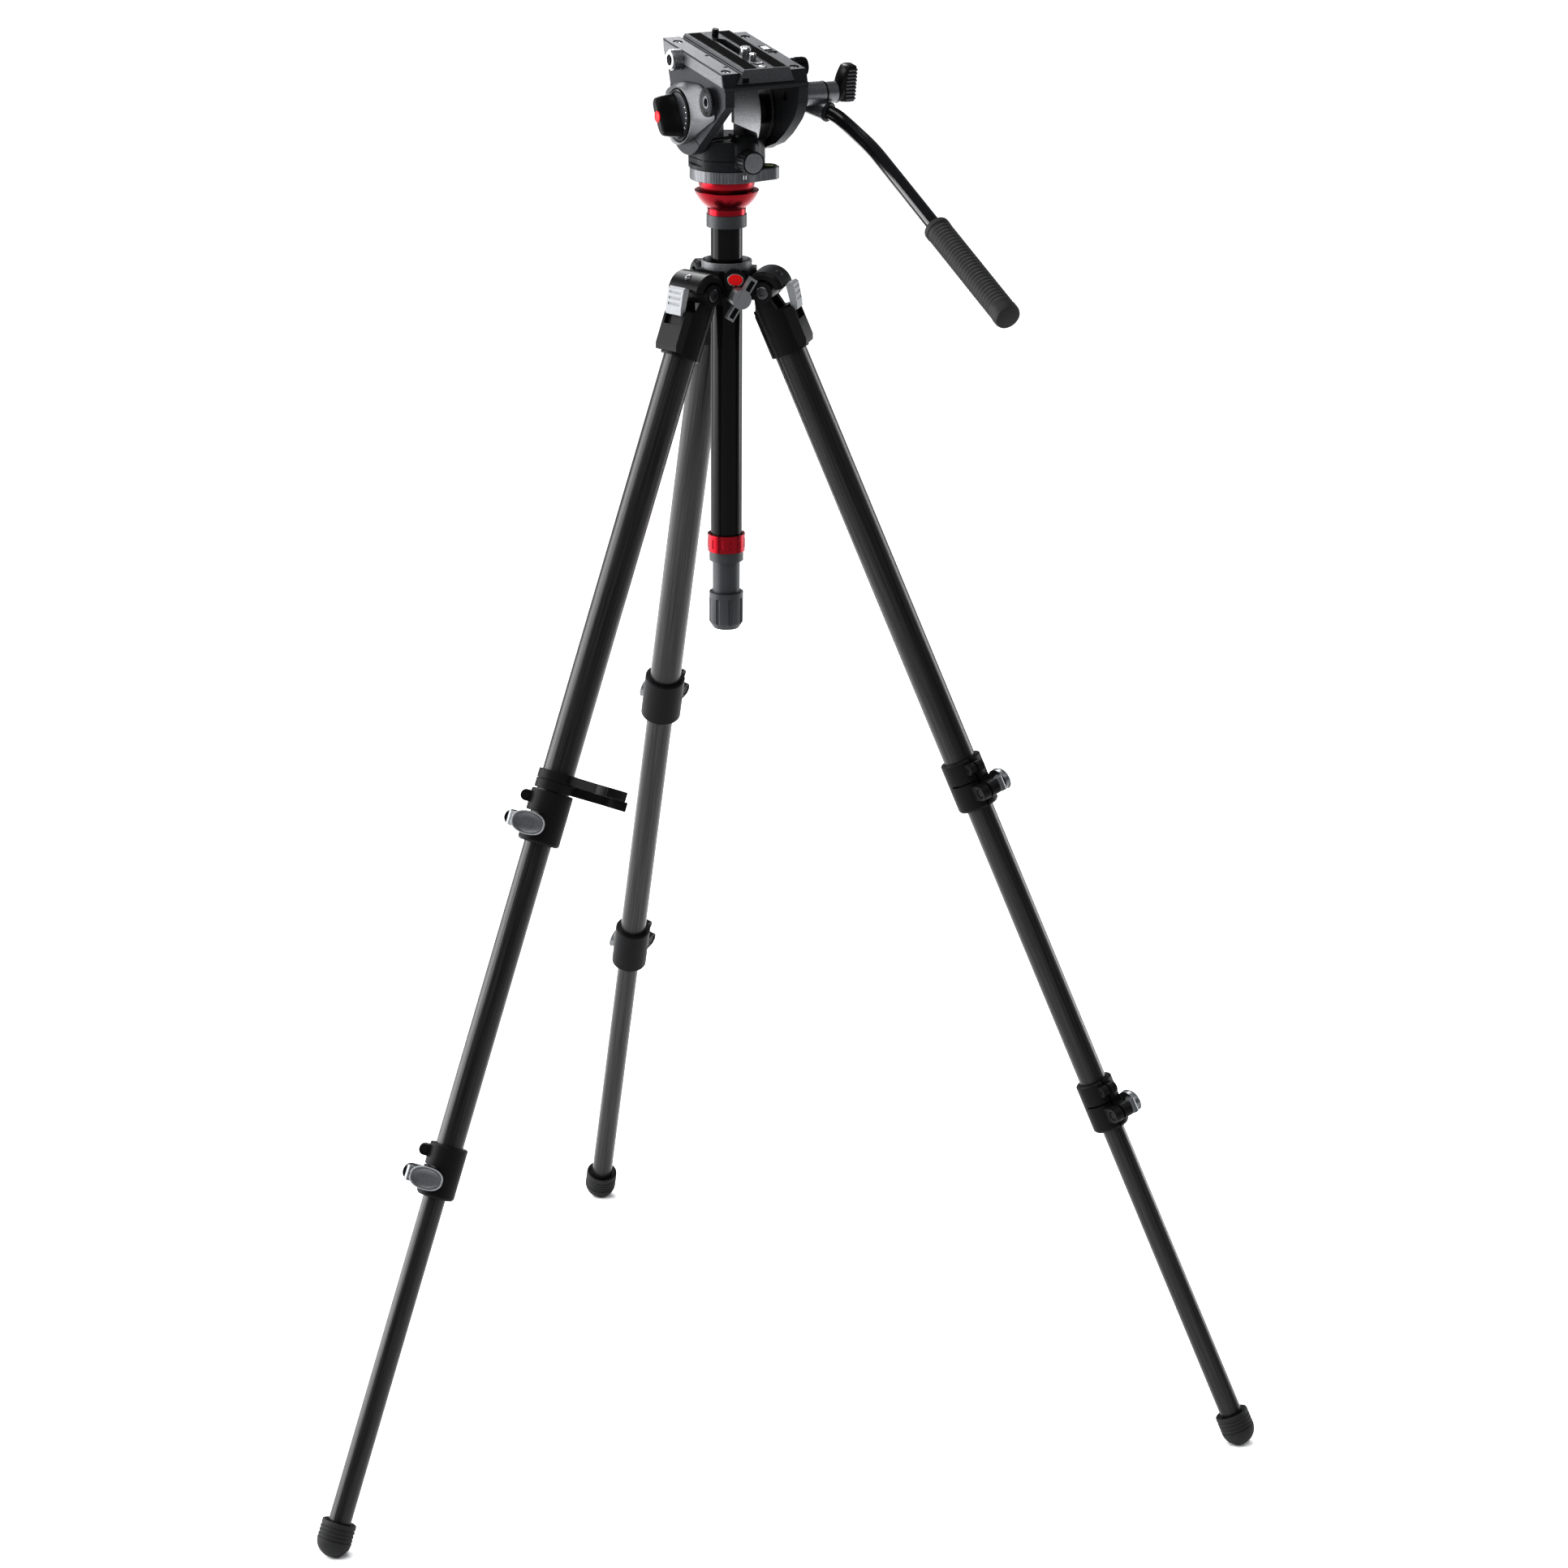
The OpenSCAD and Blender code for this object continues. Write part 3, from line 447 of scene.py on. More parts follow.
def make_studio():
    area_light("left_box", at=(-3.07, 0.9, 1.4), aim=(0, 0, 0.75), size=(3.5, 2.8), power=190)
    area_light("right_box", at=(3.16, 0.49, 1.4), aim=(0, 0, 0.75), size=(1.2, 2.8), power=60)
    area_light("top_back", at=(-0.4, 2.6, 3.2), aim=(0, 0, 0.9), size=(2.6, 1.4), power=100)
    soft_sun(strength=2.5, spread=60, direction=(0.25, 0.35, -1))
    world = bpy.data.worlds.new("studio")
    world.use_nodes = True
    sky = world.node_tree.nodes["Background"]
    sky.inputs["Color"].default_value = (0.95, 0.97, 1, 1)
    sky.inputs["Strength"].default_value = 0.25
    bpy.context.scene.world = world
    view = bpy.context.scene.view_settings
    view.view_transform = "Standard"
    # a low gamma keeps the blacks deep, and the exposure brings the floor back to white
    view.gamma = 0.7
    view.exposure = 0.28
    bpy.ops.mesh.primitive_plane_add(size=FLOOR_SIZE)
    floor = bpy.context.object
    floor.name = "floor"
    floor.data.materials.append(surface("floor_paint", (0.96, 0.96, 0.96), 0.9, vary=0.01, bump=0.0,
                                        grain=(40, 40, 40), spec=0.1))


# ---- head ---------------------------------------------------------------------------------------

# heights and places in the TILT frame
DECK_TOP, PLATE_TOP = 54, 58
RAILS = ((-40.2, -24.4), (24.4, 40.2))
RAIL_SCREWS = [(x, y) for x in (-33, 33) for y in (-56, 37)]
STUD_38_Y, STUD_14_Y = -27, -41
ROSETTE = (-46.5, 24.9)      # (Y, Z) of the pan bar's axis
BAR = [(57.5, -38.6, 14.3), (72, -65.6, 10.5), (76, -82, 5.5), (76, -128, -1), (76, -373, -69.6)]
BAR_RADIUS = 6.25
GRIP_LENGTH = 133
DIAL_EDGE = 24.6     # radius at which the drag cover meets the dial
HANDLE_TURN = -51.5  # degrees of the dial's handle from level


def on_side(a, y, z, side=1):
    """Frame with Z along the tilt axis, pointing out on that side, at height a from the middle."""
    return TILT @ shift(a * side, y, z) @ ALONG_X @ (Matrix() if side > 0 else spin(180, "X"))


def bore_out(obj, parts):
    """Cut closed parts, drawn in the tilting head's frame, out of a piece."""
    points, faces = [], []
    for part_points, part_faces in parts:
        faces += [[i + len(points) for i in face] for face in part_faces]
        points += part_points
    mesh = bpy.data.meshes.new("cutter")
    mesh.from_pydata([tuple(TILT @ Vector(p)) for p in points], [], faces)
    finish_mesh(mesh)
    cutter = bpy.data.objects.new("cutter", mesh)
    bpy.context.collection.objects.link(cutter)
    cut = obj.modifiers.new("cut", "BOOLEAN")
    cut.operation, cut.object, cut.solver = "DIFFERENCE", cutter, "EXACT"
    depsgraph = bpy.context.evaluated_depsgraph_get()
    result = bpy.data.meshes.new_from_object(obj.evaluated_get(depsgraph))
    finish_mesh(result)
    obj.modifiers.clear()
    obj.data = result
    bpy.data.objects.remove(cutter)


def at_each(places, part):
    return [moved(part, shift(x, y, 0)) for x, y in places]


def receiver():
    soften("receiver", 0.9)
    screw = lathe([(3.5, DECK_TOP - 1.6), (3.5, DECK_TOP - 1.0), (3.1, DECK_TOP - 0.7),
                   (1.4, DECK_TOP - 0.7), (1.2, DECK_TOP - 1.4), (0, DECK_TOP - 1.4)], 32)
    # near-black walls in the screw holes: painted shade in the recesses
    wall = lathe([(3.9, DECK_TOP - 1.62), (4.22, DECK_TOP - 1.62), (4.22, DECK_TOP + 0.03),
                  (4.0, DECK_TOP + 0.03)], 40, loop=True)
    add("rail_screws", at_each(RAIL_SCREWS, screw), TILT, "deck", "bright_steel")
    add("screw_recesses", at_each(RAIL_SCREWS, wall), TILT, "deck", "dark_hollow")
    # a lighter grey plate on the receiver's left side, the side the left lamp lights: painted light on that
    # side
    flank = [(-67.4, 43), (-63.6, 52.6), (49.8, 52.6), (47.2, 43)]
    add("left_flank", moved(prism(flank, -40.95, -40.3), ALONG_X), TILT, "deck", "light_grey",
        bevel=0.25)
    add("back_lip", slab((-40.7, -70.8, 40.3), (40.7, -66, 43.6)), TILT, "deck", "head_grey", bevel=0.4)
    rail_tops = [slab((lo, -63.4, DECK_TOP - 0.3), (hi, 50.4, DECK_TOP + 0.02)) for lo, hi in RAILS]
    rails = add("rail_tops", rail_tops, TILT, "deck", "rail_grey")
    # the screws and the release button stand in holes of the rails
    holes = at_each(RAIL_SCREWS, lathe([(4.22, DECK_TOP - 2), (4.22, DECK_TOP + 2)], 40))
    bore_out(rails, holes + [slab((29.8, -8, DECK_TOP - 2), (37.8, 8, DECK_TOP + 2))])
    # small notches in the left rail beside the plate, and a T behind the release button, drawn as near-black
    # slabs: painted shade in place of cut notches
    notches = [slab((-28.8, y - 1.6, DECK_TOP - 1), (-25.6, y + 1.6, DECK_TOP + 0.05)) for y in (-8, -44)]
    notches += [slab((30.5, -13.4, DECK_TOP - 1), (40.23, -9.6, DECK_TOP + 0.05)),
                slab((35, -16.4, DECK_TOP - 1), (37.4, -9.6, DECK_TOP + 0.05))]
    add("rail_notches", notches, TILT, "deck", "dark_hollow")


def plate():
    soften("quick_plate", 0.6)
    strips = [slab((x, -65, PLATE_TOP - 0.6), (x + 12, 43.5, PLATE_TOP + 0.5)) for x in (-20, 8)]
    add("rubber_strips", strips, TILT, "plate", "rubber", bevel=0.4)
    # fine grooves along the sloping flanks, drawn as near-black strips on the surface: painted shade in
    # place of cut grooves
    grooves = []
    for side in (-1, 1):
        for z in (55.6, 53.9, 52.2):
            x = side * (21.8 + (PLATE_TOP - z) * 0.48 + 0.02)
            grooves.append(slab((x - 0.25, -67.6, z - 0.28), (x + 0.25, 46.1, z + 0.28)))
    add("plate_grooves", grooves, TILT, "plate", "dark_hollow")
    # painted shade: a near-black block standing for a notch in the plate's end
    end_notch = slab((-22.5, -68.3, 46), (-16.5, -66, 50.5))
    add("plate_notch", end_notch, TILT, "plate", "dark_hollow")
    ring = lathe([(3.2, PLATE_TOP - 0.3), (5.4, PLATE_TOP - 0.3), (5.4, PLATE_TOP + 0.3),
                  (4.9, PLATE_TOP + 0.5), (3.5, PLATE_TOP + 0.5), (3.2, PLATE_TOP + 0.3)], 40, loop=True)
    add("plate_ring", moved(ring, shift(0, -50.5, 0)), TILT, "plate", "dark_bolt")
    eye = lathe([(3.2, PLATE_TOP - 0.3), (3.2, PLATE_TOP + 0.1), (0, PLATE_TOP + 0.1)], 32)
    add("plate_eye", moved(eye, shift(0, -50.5, 0)), TILT, "plate", "bright_steel")
    head = lathe([(3.9, PLATE_TOP - 0.4), (3.9, PLATE_TOP + 0.2), (3.3, PLATE_TOP + 0.6),
                  (1.5, PLATE_TOP + 0.6), (1.3, PLATE_TOP - 0.1), (0, PLATE_TOP - 0.1)], 32)
    add("plate_screw", moved(head, shift(0, -61.5, 0)), TILT, "plate", "bright_steel")
    pin = lathe([(2.95, PLATE_TOP - 0.4), (2.95, 64.2), (2.2, 65.05), (1.3, 65.05), (1.1, 64.2),
                 (0, 64.2)], 28)
    add("locating_pin", moved(pin, shift(0, 31, 0)), TILT, "plate", "knob_black")


def threaded(r, z0, z1, pitch, head_r):
    """Stud with thread ridges, a rounded tip, and a flange at its foot."""
    profile = [(head_r, z0 - 0.6), (head_r, z0 + 0.9), (r - 0.6, z0 + 1.4)]
    z = z0 + 1.4
    while z + pitch < z1 - 1:
        profile += [(r - 0.6, z), (r, z + pitch * 0.35), (r, z + pitch * 0.55),
                    (r - 0.6, z + pitch * 0.9)]
        z += pitch
    profile += [(r - 0.5, z1 - 0.9), (r - 1.4, z1), (0, z1)]
    return lathe(profile, 36)


def camera_screws():
    large = threaded(4.76, PLATE_TOP + 0.3, 65.5, 1.6, 4.7)
    add("stud_38_thread", moved(large, shift(0, STUD_38_Y, 0)), TILT, "screw_38", "bright_steel")
    small = threaded(3.17, PLATE_TOP + 0.3, 64, 1.27, 3.1)
    add("stud_14_thread", moved(small, shift(0, STUD_14_Y, 0)), TILT, "screw_14", "bright_steel")


def rosettes():
    teeth = 26
    for side, name in ((-1, "left"), (1, "right")):
        ring = [(12.5, 0), (12.5, 2.0), (12.0, 2.4), (6.6, 1.5), (5.8, 1.0), (5.8, 0)]
        place = on_side(43.2, *ROSETTE, side)
        add(name + "_rosette", lathe(ring, 96, loop=True), place, "deck", "knob_black")
        tooth = loft([[(7.0, -0.2, 1.3), (7.0, 0.2, 1.3), (7.0, 0, 1.9)],
                      [(12.2, -0.75, 1.6), (12.2, 0.75, 1.6), (12.2, 0, 3.0)]])
        ridges = [moved(tooth, spin(i * 360 / teeth)) for i in range(teeth)]
        # the teeth are lighter than the black ring: painted highlight for the glints on their tips
        add(name + "_rosette_teeth", ridges, place, "deck", "light_grey", sharp=20)
        if side < 0:
            insert = lathe([(3.6, 0.4), (5.4, 0.4), (5.4, 2.2), (5.0, 2.6), (4.2, 2.6), (3.6, 2.1)], 48,
                           loop=True)
            add("left_rosette_insert", insert, place, "deck", "lever_grey")


def cheeks():
    for side in ("left", "right"):
        soften(side + "_cheek", 2.2, 4)
    # painted shade: a near-black disc on the inner face of the right cheek, with a raised ring whose light
    # grey is a painted arc highlight
    inner = on_side(31, 0, 0)
    inner_shade_disc = lathe([(15.2, -0.3), (33.6, -0.3), (34.2, 0.2), (15.2, 0.2)], 96, loop=True)
    add("cheek_inner_shade", inner_shade_disc, inner, "deck", "knob_black")
    ring = lathe([(26.4, -0.5), (29.2, -0.5), (29.6, -0.1), (26, -0.1)], 96, loop=True)
    add("cheek_inner_ring", ring, inner, "deck", "light_grey")


# outline of the drag cover, as (Y, Z) in the TILT frame
EYE = [(37, 8), (26, 18.5), (10, 26.5), (-8, 31), (-26, 33.5), (-43, 28.5), (-57, 14.5), (-44, 3),
       (-31, -6.5), (-19, -15.5), (-6, -23.5), (7, -29.5), (21, -29.5), (31.5, -16)]


def drag_cover():
    eye = closed_curve(EYE, 8)

    def hoop(r, a):
        """Circle at that distance from the head's middle, with a point for each of the eye's."""
        return [(-a, r * cos(atan2(p.y, p.x)), r * sin(atan2(p.y, p.x))) for p in eye]

    def ring(blend, a):
        """The eye, drawn in towards the dial's edge."""
        reach = [p.length + (DIAL_EDGE - p.length) * blend for p in eye]
        return [(-a, r * p.x / p.length, r * p.y / p.length) for r, p in zip(reach, eye)]

    skin = [ring(0, 40.2), ring(0, 41.6), ring(0.04, 42.3), ring(0.22, 43.4), ring(0.5, 45),
            ring(0.8, 46.8), ring(0.97, 47.6), hoop(24.0, 47.7), hoop(23.3, 47.2), hoop(23.2, 44.2),
            hoop(4.2, 44.2), hoop(4.2, 40.2)]
    add("drag_cover_skin", loft(skin + [skin[0]], cap=False), TILT, "deck", "cover_grey",
        hides=["drag_cover"], sharp=40)


def drag_dial():
    """Bezel ring, grey face with plain marks, and a waisted bar handle with a red cap."""
    bezel = lathe([(19.6, 0), (22.3, 0), (22.3, 3.6), (21.7, 4.4), (20.2, 4.4), (19.6, 3.7)], 72, loop=True)
    place = on_side(44.2, 0, 0, -1)
    add("dial_bezel", bezel, place, "tilt_lock", "knob_black")
    face = lathe([(19.7, 0), (19.7, 3.6), (19.0, 3.9), (0, 3.9)], 72)
    add("dial_face", face, place, "tilt_lock", "dark_plastic",
        hides=["tilt_lock_knob"])
    marks = [moved(slab((16, -0.3, 3.7), (18, 0.3, 4.05)), spin(a)) for a in range(140, 221, 16)]
    add("dial_marks", marks, place, "tilt_lock", "white_mark")
    stem = lathe([(4, -3.4), (4, 0.4)], 32)
    # height over the dial, half length, reach to the back and to the flared front
    handle = [(3.8, 20, 6.5, 14), (5.5, 19.8, 6.2, 10.6), (8, 19.4, 5.6, 8.6), (11.5, 19.0, 5.4, 7.4),
              (15.5, 18.6, 5.6, 7), (19.5, 17.8, 5.8, 6.6), (21.6, 17, 5.4, 6.2), (22.7, 15.2, 4, 4.8)]
    rings = [[waisted(2 * pi * i / 72, long, back, front, h) for i in range(72)]
             for h, long, back, front in handle]
    add("dial_handle", [stem, moved(loft(rings), spin(HANDLE_TURN))], place, "tilt_lock", "knob_black")
    strip = [[waisted(2 * pi * i / 72, long, wide, wide, h) for i in range(72)]
             for h, long, wide in ((22.3, 13.4, 3.4), (23.0, 13.2, 3.2), (23.2, 12.6, 2.8))]
    add("dial_strip", moved(loft(strip), spin(HANDLE_TURN)), place, "tilt_lock", "knob_black")
    add("dial_cap", dome(5, 22.6, 23.4, 0.8), place, "tilt_lock", "red_plain")


def waisted(turn, long, back, front, h):
    """Point of a bar handle's outline, with its middle drawn in a little."""
    c, s = cos(turn), sin(turn)
    waist = 1 - 0.2 * (1 - abs(c)) ** 2
    return (long * abs(c) ** 0.7 * (1 if c > 0 else -1),
            (front if s > 0 else -back) * waist * abs(s) ** 0.8, h)


def accessory_socket():
    barrel = lathe([(8.4, 0), (9.2, 0.4), (9.2, 7.4), (8.9, 7.8), (9.2, 8.2), (9.2, 8.8), (8.4, 9.2),
                    (8.4, 0)], 56, loop=True)
    place = on_side(40.3, 16, 45, -1)
    add("socket_barrel", barrel, place, "deck", "knob_black")
    face = lathe([(8.5, 8.4), (8.5, 9.9), (7.9, 10.6), (5.6, 10.6), (4.9, 9.9), (4.9, 2), (8.3, 2)], 56,
                 loop=True)
    add("socket_face", face, place, "deck", "lever_grey")
    turns = [lathe([(5.0, z), (4.2, z + 0.55), (5.0, z + 1.1)], 40, loop=True)
             for z in (2.2, 3.7, 5.2, 6.7, 8.2)]
    add("socket_thread", turns, place, "deck", "dark_bolt")


def right_side_controls():
    count = 14
    flutes = [moved(slab((7.3, -0.75, 2.2), (8.45, 0.75, 10.6)), spin(i * 360 / count))
              for i in range(count)]
    place = on_side(40.8, -38, 47.5)
    add("plate_lock_flutes", flutes, place, "plate_lock", "knob_black", bevel=0.3)
    NODES["release_button"].data.materials[0] = LOOK["bright_steel"]
    grips = [slab((x, -4.4, DECK_TOP + 0.3), (x + 0.7, 4.4, DECK_TOP + 0.9)) for x in (31.4, 33.2, 35.0)]
    add("button_ribs", grips, TILT, "release_button", "bright_steel", bevel=0.2)


def bar_and_grip():
    path = rounded_path(BAR, 16, 10)
    into_cup = 2.9
    start = Vector(BAR[0]) - (Vector(BAR[1]) - Vector(BAR[0])).normalized() * into_cup
    add("pan_bar_smooth", sweep([start] + path[1:], BAR_RADIUS, 40), TILT, "bar", "bar_black",
        hides=["pan_bar"])
    way = (Vector(BAR[4]) - Vector(BAR[3])).normalized()
    past_end = 2
    place = TILT @ facing(Vector(BAR[4]) - (GRIP_LENGTH - past_end) * way, way)
    profile = [(6.3, 0), (10.4, 0), (11.6, 0.8), (11.6, 5.2), (10.9, 5.8)]
    z = 8.0
    while z < 118:
        profile += [(10.7, z), (11.2, z + 1.1), (11.35, z + 2.0), (11.2, z + 2.9)]
        z += 4.2
    profile += [(10.9, 124), (11.6, 124.6), (11.6, 130), (10.8, 132.4), (9, GRIP_LENGTH), (0, GRIP_LENGTH)]
    add("grip_sleeve", lathe(profile, 56), place, "bar", "grip_rubber", hides=["bar_grip"])


def bar_clamp():
    soften("bar_clamp", 0.9, look="clamp_metal")
    place = on_side(45.4, *ROSETTE)
    bands = [lathe([(9.4, z), (10.58, z), (10.58, z + 1.2), (9.4, z + 1.2)], 56, loop=True)
             for z in (1.6, 22.0)]
    add("clamp_bands", bands, place, "bar", "dark_hollow")
    end_band = lathe([(9.4, 34.3), (9.62, 34.3), (9.62, 35.0), (9.4, 35.0)], 56, loop=True)
    add("clamp_end_band", end_band, place, "bar", "dark_hollow")
    cup = TILT @ facing(BAR[0], Vector(BAR[1]) - Vector(BAR[0]))
    collar = lathe([(6.35, 21.5), (8.5, 21.5), (8.7, 22.1), (8.7, 24.0), (8.2, 24.7), (6.35, 24.7)], 48,
                   loop=True)
    add("cup_collar", collar, cup, "bar", "head_black")


def bar_knob():
    place = TILT @ shift(0, *ROSETTE)
    outline = closed_curve([(81.6, 0), (82.2, 9), (84.2, 16.5), (87, 22.6), (89.6, 24), (95.4, 23.8),
                            (96.8, 22), (97, 7), (96.6, -6.4), (95.2, -8), (88, -8), (82.6, -6.6)], 6)

    middle = Vector((90, 8))
    half_height = 14

    def ring(y, inset):
        """The outline at that y, drawn in towards its middle by about inset."""
        drawn_in = [p + (middle - p) * (inset / half_height) for p in outline]
        return [(p.x, y, p.y) for p in drawn_in]

    skin = [ring(-7.2, 2.2), ring(-6.6, 0.7), ring(-5.2, 0), ring(5.2, 0), ring(6.6, 0.7), ring(7.2, 2.2)]
    neck = moved(lathe([(8.6, 80.6), (8.6, 84.2), (7.9, 85.4), (6.5, 86.4)], 48), ALONG_X)
    bolt = moved(lathe([(4, 33), (4, 82)], 32), ALONG_X)
    add("bar_knob_body", [loft(skin), neck, bolt], place, "bar_lock", "knob_black", hides=["bar_knob"])
    ribs = []
    for k in range(9):
        z = -6.0 + 3.2 * k
        # the knob's inner side is curved, so the middle ribs reach further in
        for y0, y1 in ((-7.9, -6.6), (6.6, 7.9)):
            ribs.append(slab((86.8 + 0.06 * (k - 3) ** 2, y0, z), (96.2, y1, z + 1.7)))
        ribs.append(slab((95.8, -6.6, z), (97.7, 6.6, z + 1.7)))
    # the ribs are dark steel instead of the knob's black: painted highlight on the ribs
    add("bar_knob_ribs", ribs, place, "bar_lock", "dark_bolt", bevel=0.35)


# in the PAN frame
PAN_TOP = 1193       # where the black housing ends and the light neck begins
PAN_FLAT_X = 30.44   # half the width over the housing's flat sides


def pan_parts():
    above_top = PAN_TOP + 0.05
    keep_faces(soften("pan_housing", 1.2, 3), lambda at: at.z < above_top)
    neck = soften("pan_housing", 0.6, look="neck_grey")
    keep_faces(neck, lambda at: at.z >= above_top)
    seam = lathe([(33.0, 1175.6), (33.55, 1175.6), (33.55, 1176.3), (33.0, 1176.3)], 96, loop=True)
    seams = add("pan_seam", seam, PAN, "pan_body", "dark_hollow")
    clip_sides(seams, PAN_FLAT_X)
    # upright hump behind the pan lock knob, and the crescent rib beside it
    r, shoulder, crown = 12.8, 1190, 8.6
    hump = [(r, 1170), (r, shoulder)]
    hump += [(r * cos(radians(t)), shoulder + crown * sin(radians(t))) for t in range(15, 90, 15)]
    hump.append((0, shoulder + crown))
    add("knob_hump", moved(lathe(hump, 56), shift(3, -26.8, 0)), PAN, "pan_body", "head_black")
    start, end = 150, 390
    rib = [(-16 + 11 * cos(radians(t)), -22 + 8 * sin(radians(t)),
            PAN_TOP + 0.5 + 4.2 * sin(radians((t - start) / 2))) for t in range(start, end + 1, 20)]
    add("housing_rib", sweep(rib, 1.5, 16), PAN, "pan_body", "head_black")
    knob = PAN @ shift(0, -39.5, 1177.4) @ spin(90, "X")
    count = 18
    teeth = [moved(slab((8.9, -0.85, 0.8), (10.25, 0.85, 10.2)), spin(i * 360 / count))
             for i in range(count)]
    # the knurl's teeth are dark steel instead of the knob's black: painted highlight for the glints along
    # the knurl
    add("pan_knob_knurl", teeth, knob, "pan_lock", "dark_bolt", bevel=0.35)
    face = lathe([(9.1, 9), (9.1, 12.2), (8.5, 12.7), (0, 12.9)], 56)
    add("pan_knob_face", face, knob, "pan_lock", "lever_grey")


def keep_faces(obj, wanted):
    """Leave only the faces whose centre, in the PAN frame, is wanted."""
    inverse = PAN.inverted()
    work = bmesh.new()
    work.from_mesh(obj.data)
    spare = [face for face in work.faces if not wanted(inverse @ face.calc_center_median())]
    bmesh.ops.delete(work, geom=spare, context="FACES")
    work.to_mesh(obj.data)
    work.free()


def clip_sides(obj, half):
    """Move the points of a ring on the pan housing in to its flat sides."""
    inverse = PAN.inverted()
    for v in obj.data.vertices:
        p = inverse @ v.co
        p.x = max(-half, min(half, p.x))
        v.co = PAN @ p


def base_disc():
    soften("head_base", 0.8)
    place = COLUMN @ spin(-16) @ shift(36, 0, 1167)
    collar = lathe([(6.7, -2), (8.1, -0.6), (8.1, 0.7), (7.3, 1.1), (6.4, 1.0), (6.1, 0.4), (6.1, -2)],
                   48, loop=True)
    add("bubble_collar", collar, place, "level_ball", "knob_black")
    vial = lathe([(6.2, -2.4), (6.2, 0.1), (5.4, 0.75), (3.2, 1.05), (0, 1.15)], 48)
    add("bubble_vial", vial, place, "level_ball", "bubble_green")
    marks = [moved(slab((-0.45, -33.0, 1160.0), (0.45, -32.3, 1163.6)), spin(angle))
             for angle in (11.4, 15.2)]
    add("disc_marks", marks, COLUMN, "level_ball", "white_mark")
    target = lathe([(2.5, 0.95), (2.9, 0.95), (2.9, 1.2), (2.5, 1.2)], 40, loop=True)
    add("bubble_target", target, place, "level_ball", "dark_hollow")


# ---- column -------------------------------------------------------------------------------------

def column_parts():
    line = lathe([(16.4, 1130.2), (17.06, 1130.2), (17.06, 1130.7), (16.4, 1130.7)], 96, loop=True)
    add("bowl_line", line, COLUMN, "column", "dark_hollow")
    soften("unlock_ring", 0.4)
    soften("level_grip", 0.8)


# ---- spider -------------------------------------------------------------------------------------

HINGE_HEIGHT = 1060        # of the legs' hinges, over the floor
HINGE_OUT = 37.5           # from the column's axis to a leg's hinge
WING_TURN = radians(57.7)  # the lock knob's wings, from level


def spider_parts():
    soften("spider", 1.1, 3)
    place = COLUMN @ shift(0, -20, 1067) @ spin(65, "X")
    oval = [(6.6 * cos(t), 5.0 * sin(t)) for t in [2 * pi * i / 48 for i in range(48)]]
    rim = [(x * 1.14, y * 1.14) for x, y in oval]
    add("badge_rim", prism(rim, 9.2, 9.8), place, "frame", "bright_steel", bevel=0.2)
    add("badge_field", prism(oval, 9.4, 10.2), place, "frame", "red_plain", bevel=0.3)
    cone = lathe([(15.2, 1076.2), (18.4, 1078.6), (18.9, 1079.0), (19.2, 1078.6), (19.2, 1077.6),
                  (15.2, 1075.2)], 72, loop=True)
    add("collar_cone", cone, COLUMN, "frame", "silver_tab")
    band = lathe([(19.4, 1075), (22.0, 1075), (22.4, 1083.6), (22.0, 1084.3), (21.2, 1084.3), (20.8, 1083.6),
                  (19.6, 1078)], 96, loop=True)
    add("collar_band", band, COLUMN, "frame", "light_grey")
    bolt = lathe([(5.7, 0), (5.7, 1.1), (4.9, 1.7), (2.6, 1.7), (2.4, 0.5), (0, 0.5)], 36)
    heads = [moved(bolt, leg_turn(leg), shift(HINGE_OUT, side * 20.6, HINGE_HEIGHT),
                   spin(-90 * side, "X")) for leg in LEGS for side in (-1, 1)]
    add("hinge_bolt_heads", heads, COLUMN, "frame", "dark_bolt")
    disc = lathe([(3.4, 0), (3.4, 0.6), (2.9, 0.9), (1.4, 0.9), (1.3, 0.3), (0, 0.3)], 28)
    screws = [moved(disc, leg_turn(leg), shift(HINGE_OUT, 0, HINGE_HEIGHT), spin(35, "Y"),
                    shift(0, 0, 17.9)) for leg in LEGS]
    add("hood_screws", screws, COLUMN, "frame", "dark_bolt")
    soften("column_lock_knob", 1.0, 3, look="lever_grey")
    wings = basis((cos(WING_TURN), 0, sin(WING_TURN)), (-sin(WING_TURN), 0, cos(WING_TURN)), (0, -1, 0),
                  joint_pos("column_lock_turn"))
    panels = [slab((lo, -2, 4.9), (hi, 2, 5.26)) for lo, hi in ((-18.6, -8.8), (8.8, 18.6))]
    add("lock_knob_panels", panels, wings, "column_lock", "dark_hollow")


# ---- legs ---------------------------------------------------------------------------------------

LEVER_HALF_LENGTH, LEVER_HALF_HEIGHT = 15, 10.3
LEVER_PIN_OUT, LEVER_PIN_Z = 9.2, -31   # past the clamp's radius, and from its top
LEVER_MIDDLE = 14.5                     # from the pin back to the dish's middle


def lever_oval(k, y):
    """Superellipse around the lever's dish at that y, k times its full size."""
    power = 2.35
    points = []
    for i in range(56):
        c, s = cos(2 * pi * i / 56), sin(2 * pi * i / 56)
        r = k * (abs(c) ** power + abs(s) ** power) ** (-1 / power)
        points.append((LEVER_HALF_LENGTH * r * c, y, LEVER_HALF_HEIGHT * r * s))
    return points


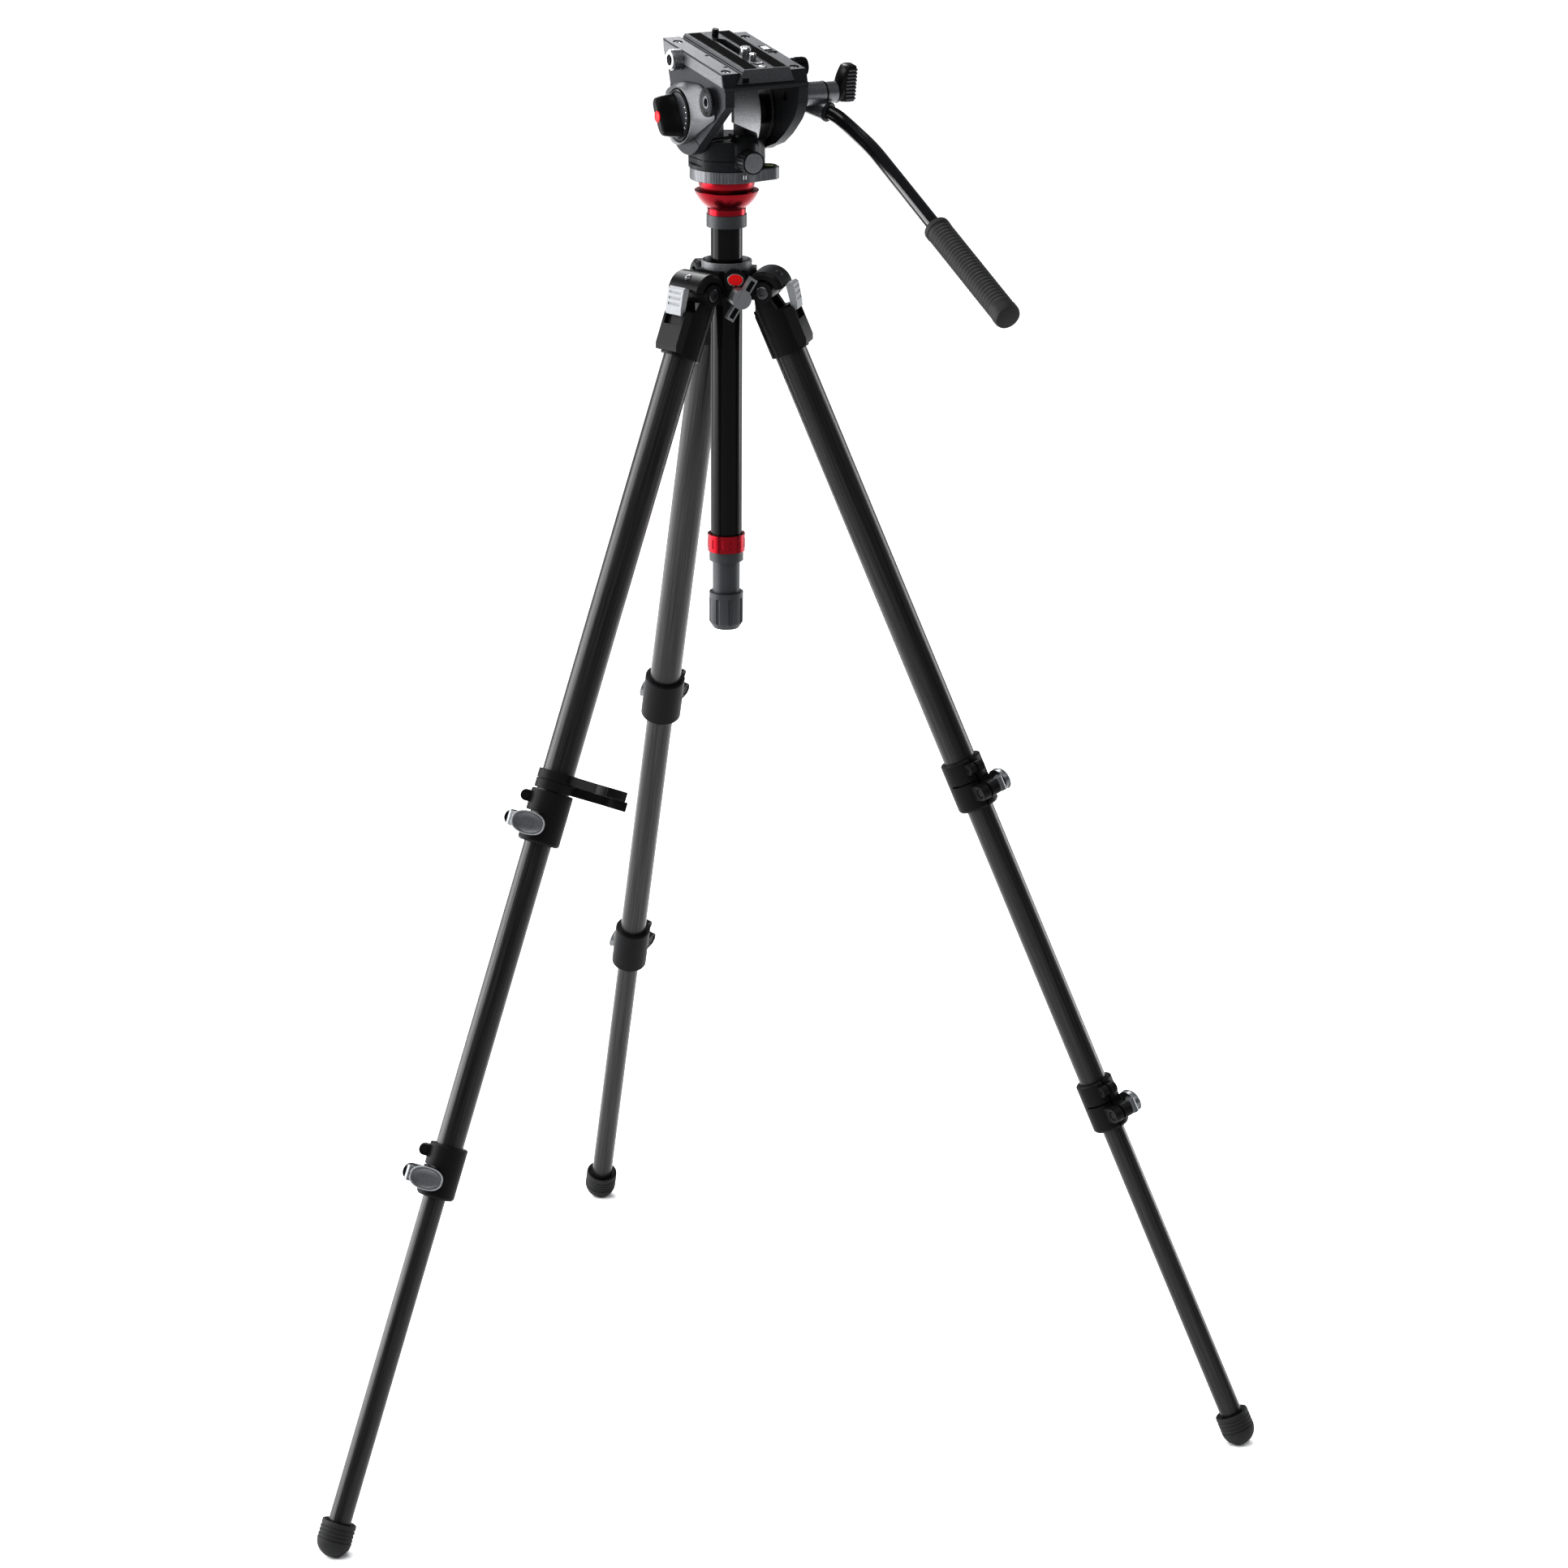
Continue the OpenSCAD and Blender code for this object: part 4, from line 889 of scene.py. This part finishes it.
def lever_parts(leg, which):
    node = leg + "_" + which + "_lever"
    soften(node, 0.8)
    middle = CLAMP_RADIUS[which] + LEVER_PIN_OUT - LEVER_MIDDLE
    place = clamp_frame(leg, which) @ shift(middle, 0, LEVER_PIN_Z)
    face = CLAMP_RADIUS[which] + 5.8
    # size and height of each ring against the lever's face
    rim = [lever_oval(k, face + rise) for k, rise in
           ((0.86, -1.0), (0.9, 0.15), (0.95, 0.35), (0.985, 0.1), (1.0, -0.9), (0.9, -1.2))]
    add(node + "_rim", loft(rim + [rim[0]], cap=False), place, BODY_OF[node], "silver_tab")
    dish = [lever_oval(k, face + rise) for k, rise in
            ((0.885, -0.2), (0.75, -0.75), (0.5, -1.15), (0.2, -1.35), (0.02, -1.4),
             (0.02, -2.6), (0.885, -2.6))]
    add(node + "_dish", loft(dish + [dish[0]], cap=False), place, BODY_OF[node], "lever_grey")


FOOT_RIM, FOOT_BALL = -1121.8, -1138.27   # along the tube: the boot's upper edge, its ball's centre
FOOT_RADIUS = 15.5


def foot_part(leg):
    """Ribbed rubber boot with a round end, flattened where it stands."""
    node = leg + "_foot"
    top, ball, r = FOOT_RIM, FOOT_BALL, FOOT_RADIUS
    profile = [(10.3, top - 3), (13.2, top - 1), (14.4, top), (15.2, top - 0.5), (r, top - 2.2)]
    z = top - 4
    while z > ball + 1:
        profile += [(r, z), (r - 0.7, z - 0.6), (r - 0.7, z - 1.5), (r, z - 2.1)]
        z -= 3.6
    profile += [(r * cos(radians(a)), ball - r * sin(radians(a))) for a in range(0, 90, 8)]
    profile.append((0, ball - r))
    obj = add(node + "_boot", lathe(profile, 64), TUBE[leg], BODY_OF[node], "grip_rubber",
              hides=[node])
    for v in obj.data.vertices:
        v.co.z = max(v.co.z, 0.0)


def leg_parts(leg):
    soften(leg + "_casting", 1.2, 3)
    soften(leg + "_latch", 0.8)
    for which in ("upper", "lower"):
        soften(leg + "_" + which + "_clamp", 0.7)
        lever_parts(leg, which)
    foot_part(leg)


make_camera()
make_studio()
receiver()
plate()
camera_screws()
rosettes()
cheeks()
drag_cover()
drag_dial()
accessory_socket()
right_side_controls()
bar_and_grip()
bar_clamp()
bar_knob()
pan_parts()
base_disc()
column_parts()
spider_parts()
for leg in LEGS:
    leg_parts(leg)
soften("leg_clip", 0.5)
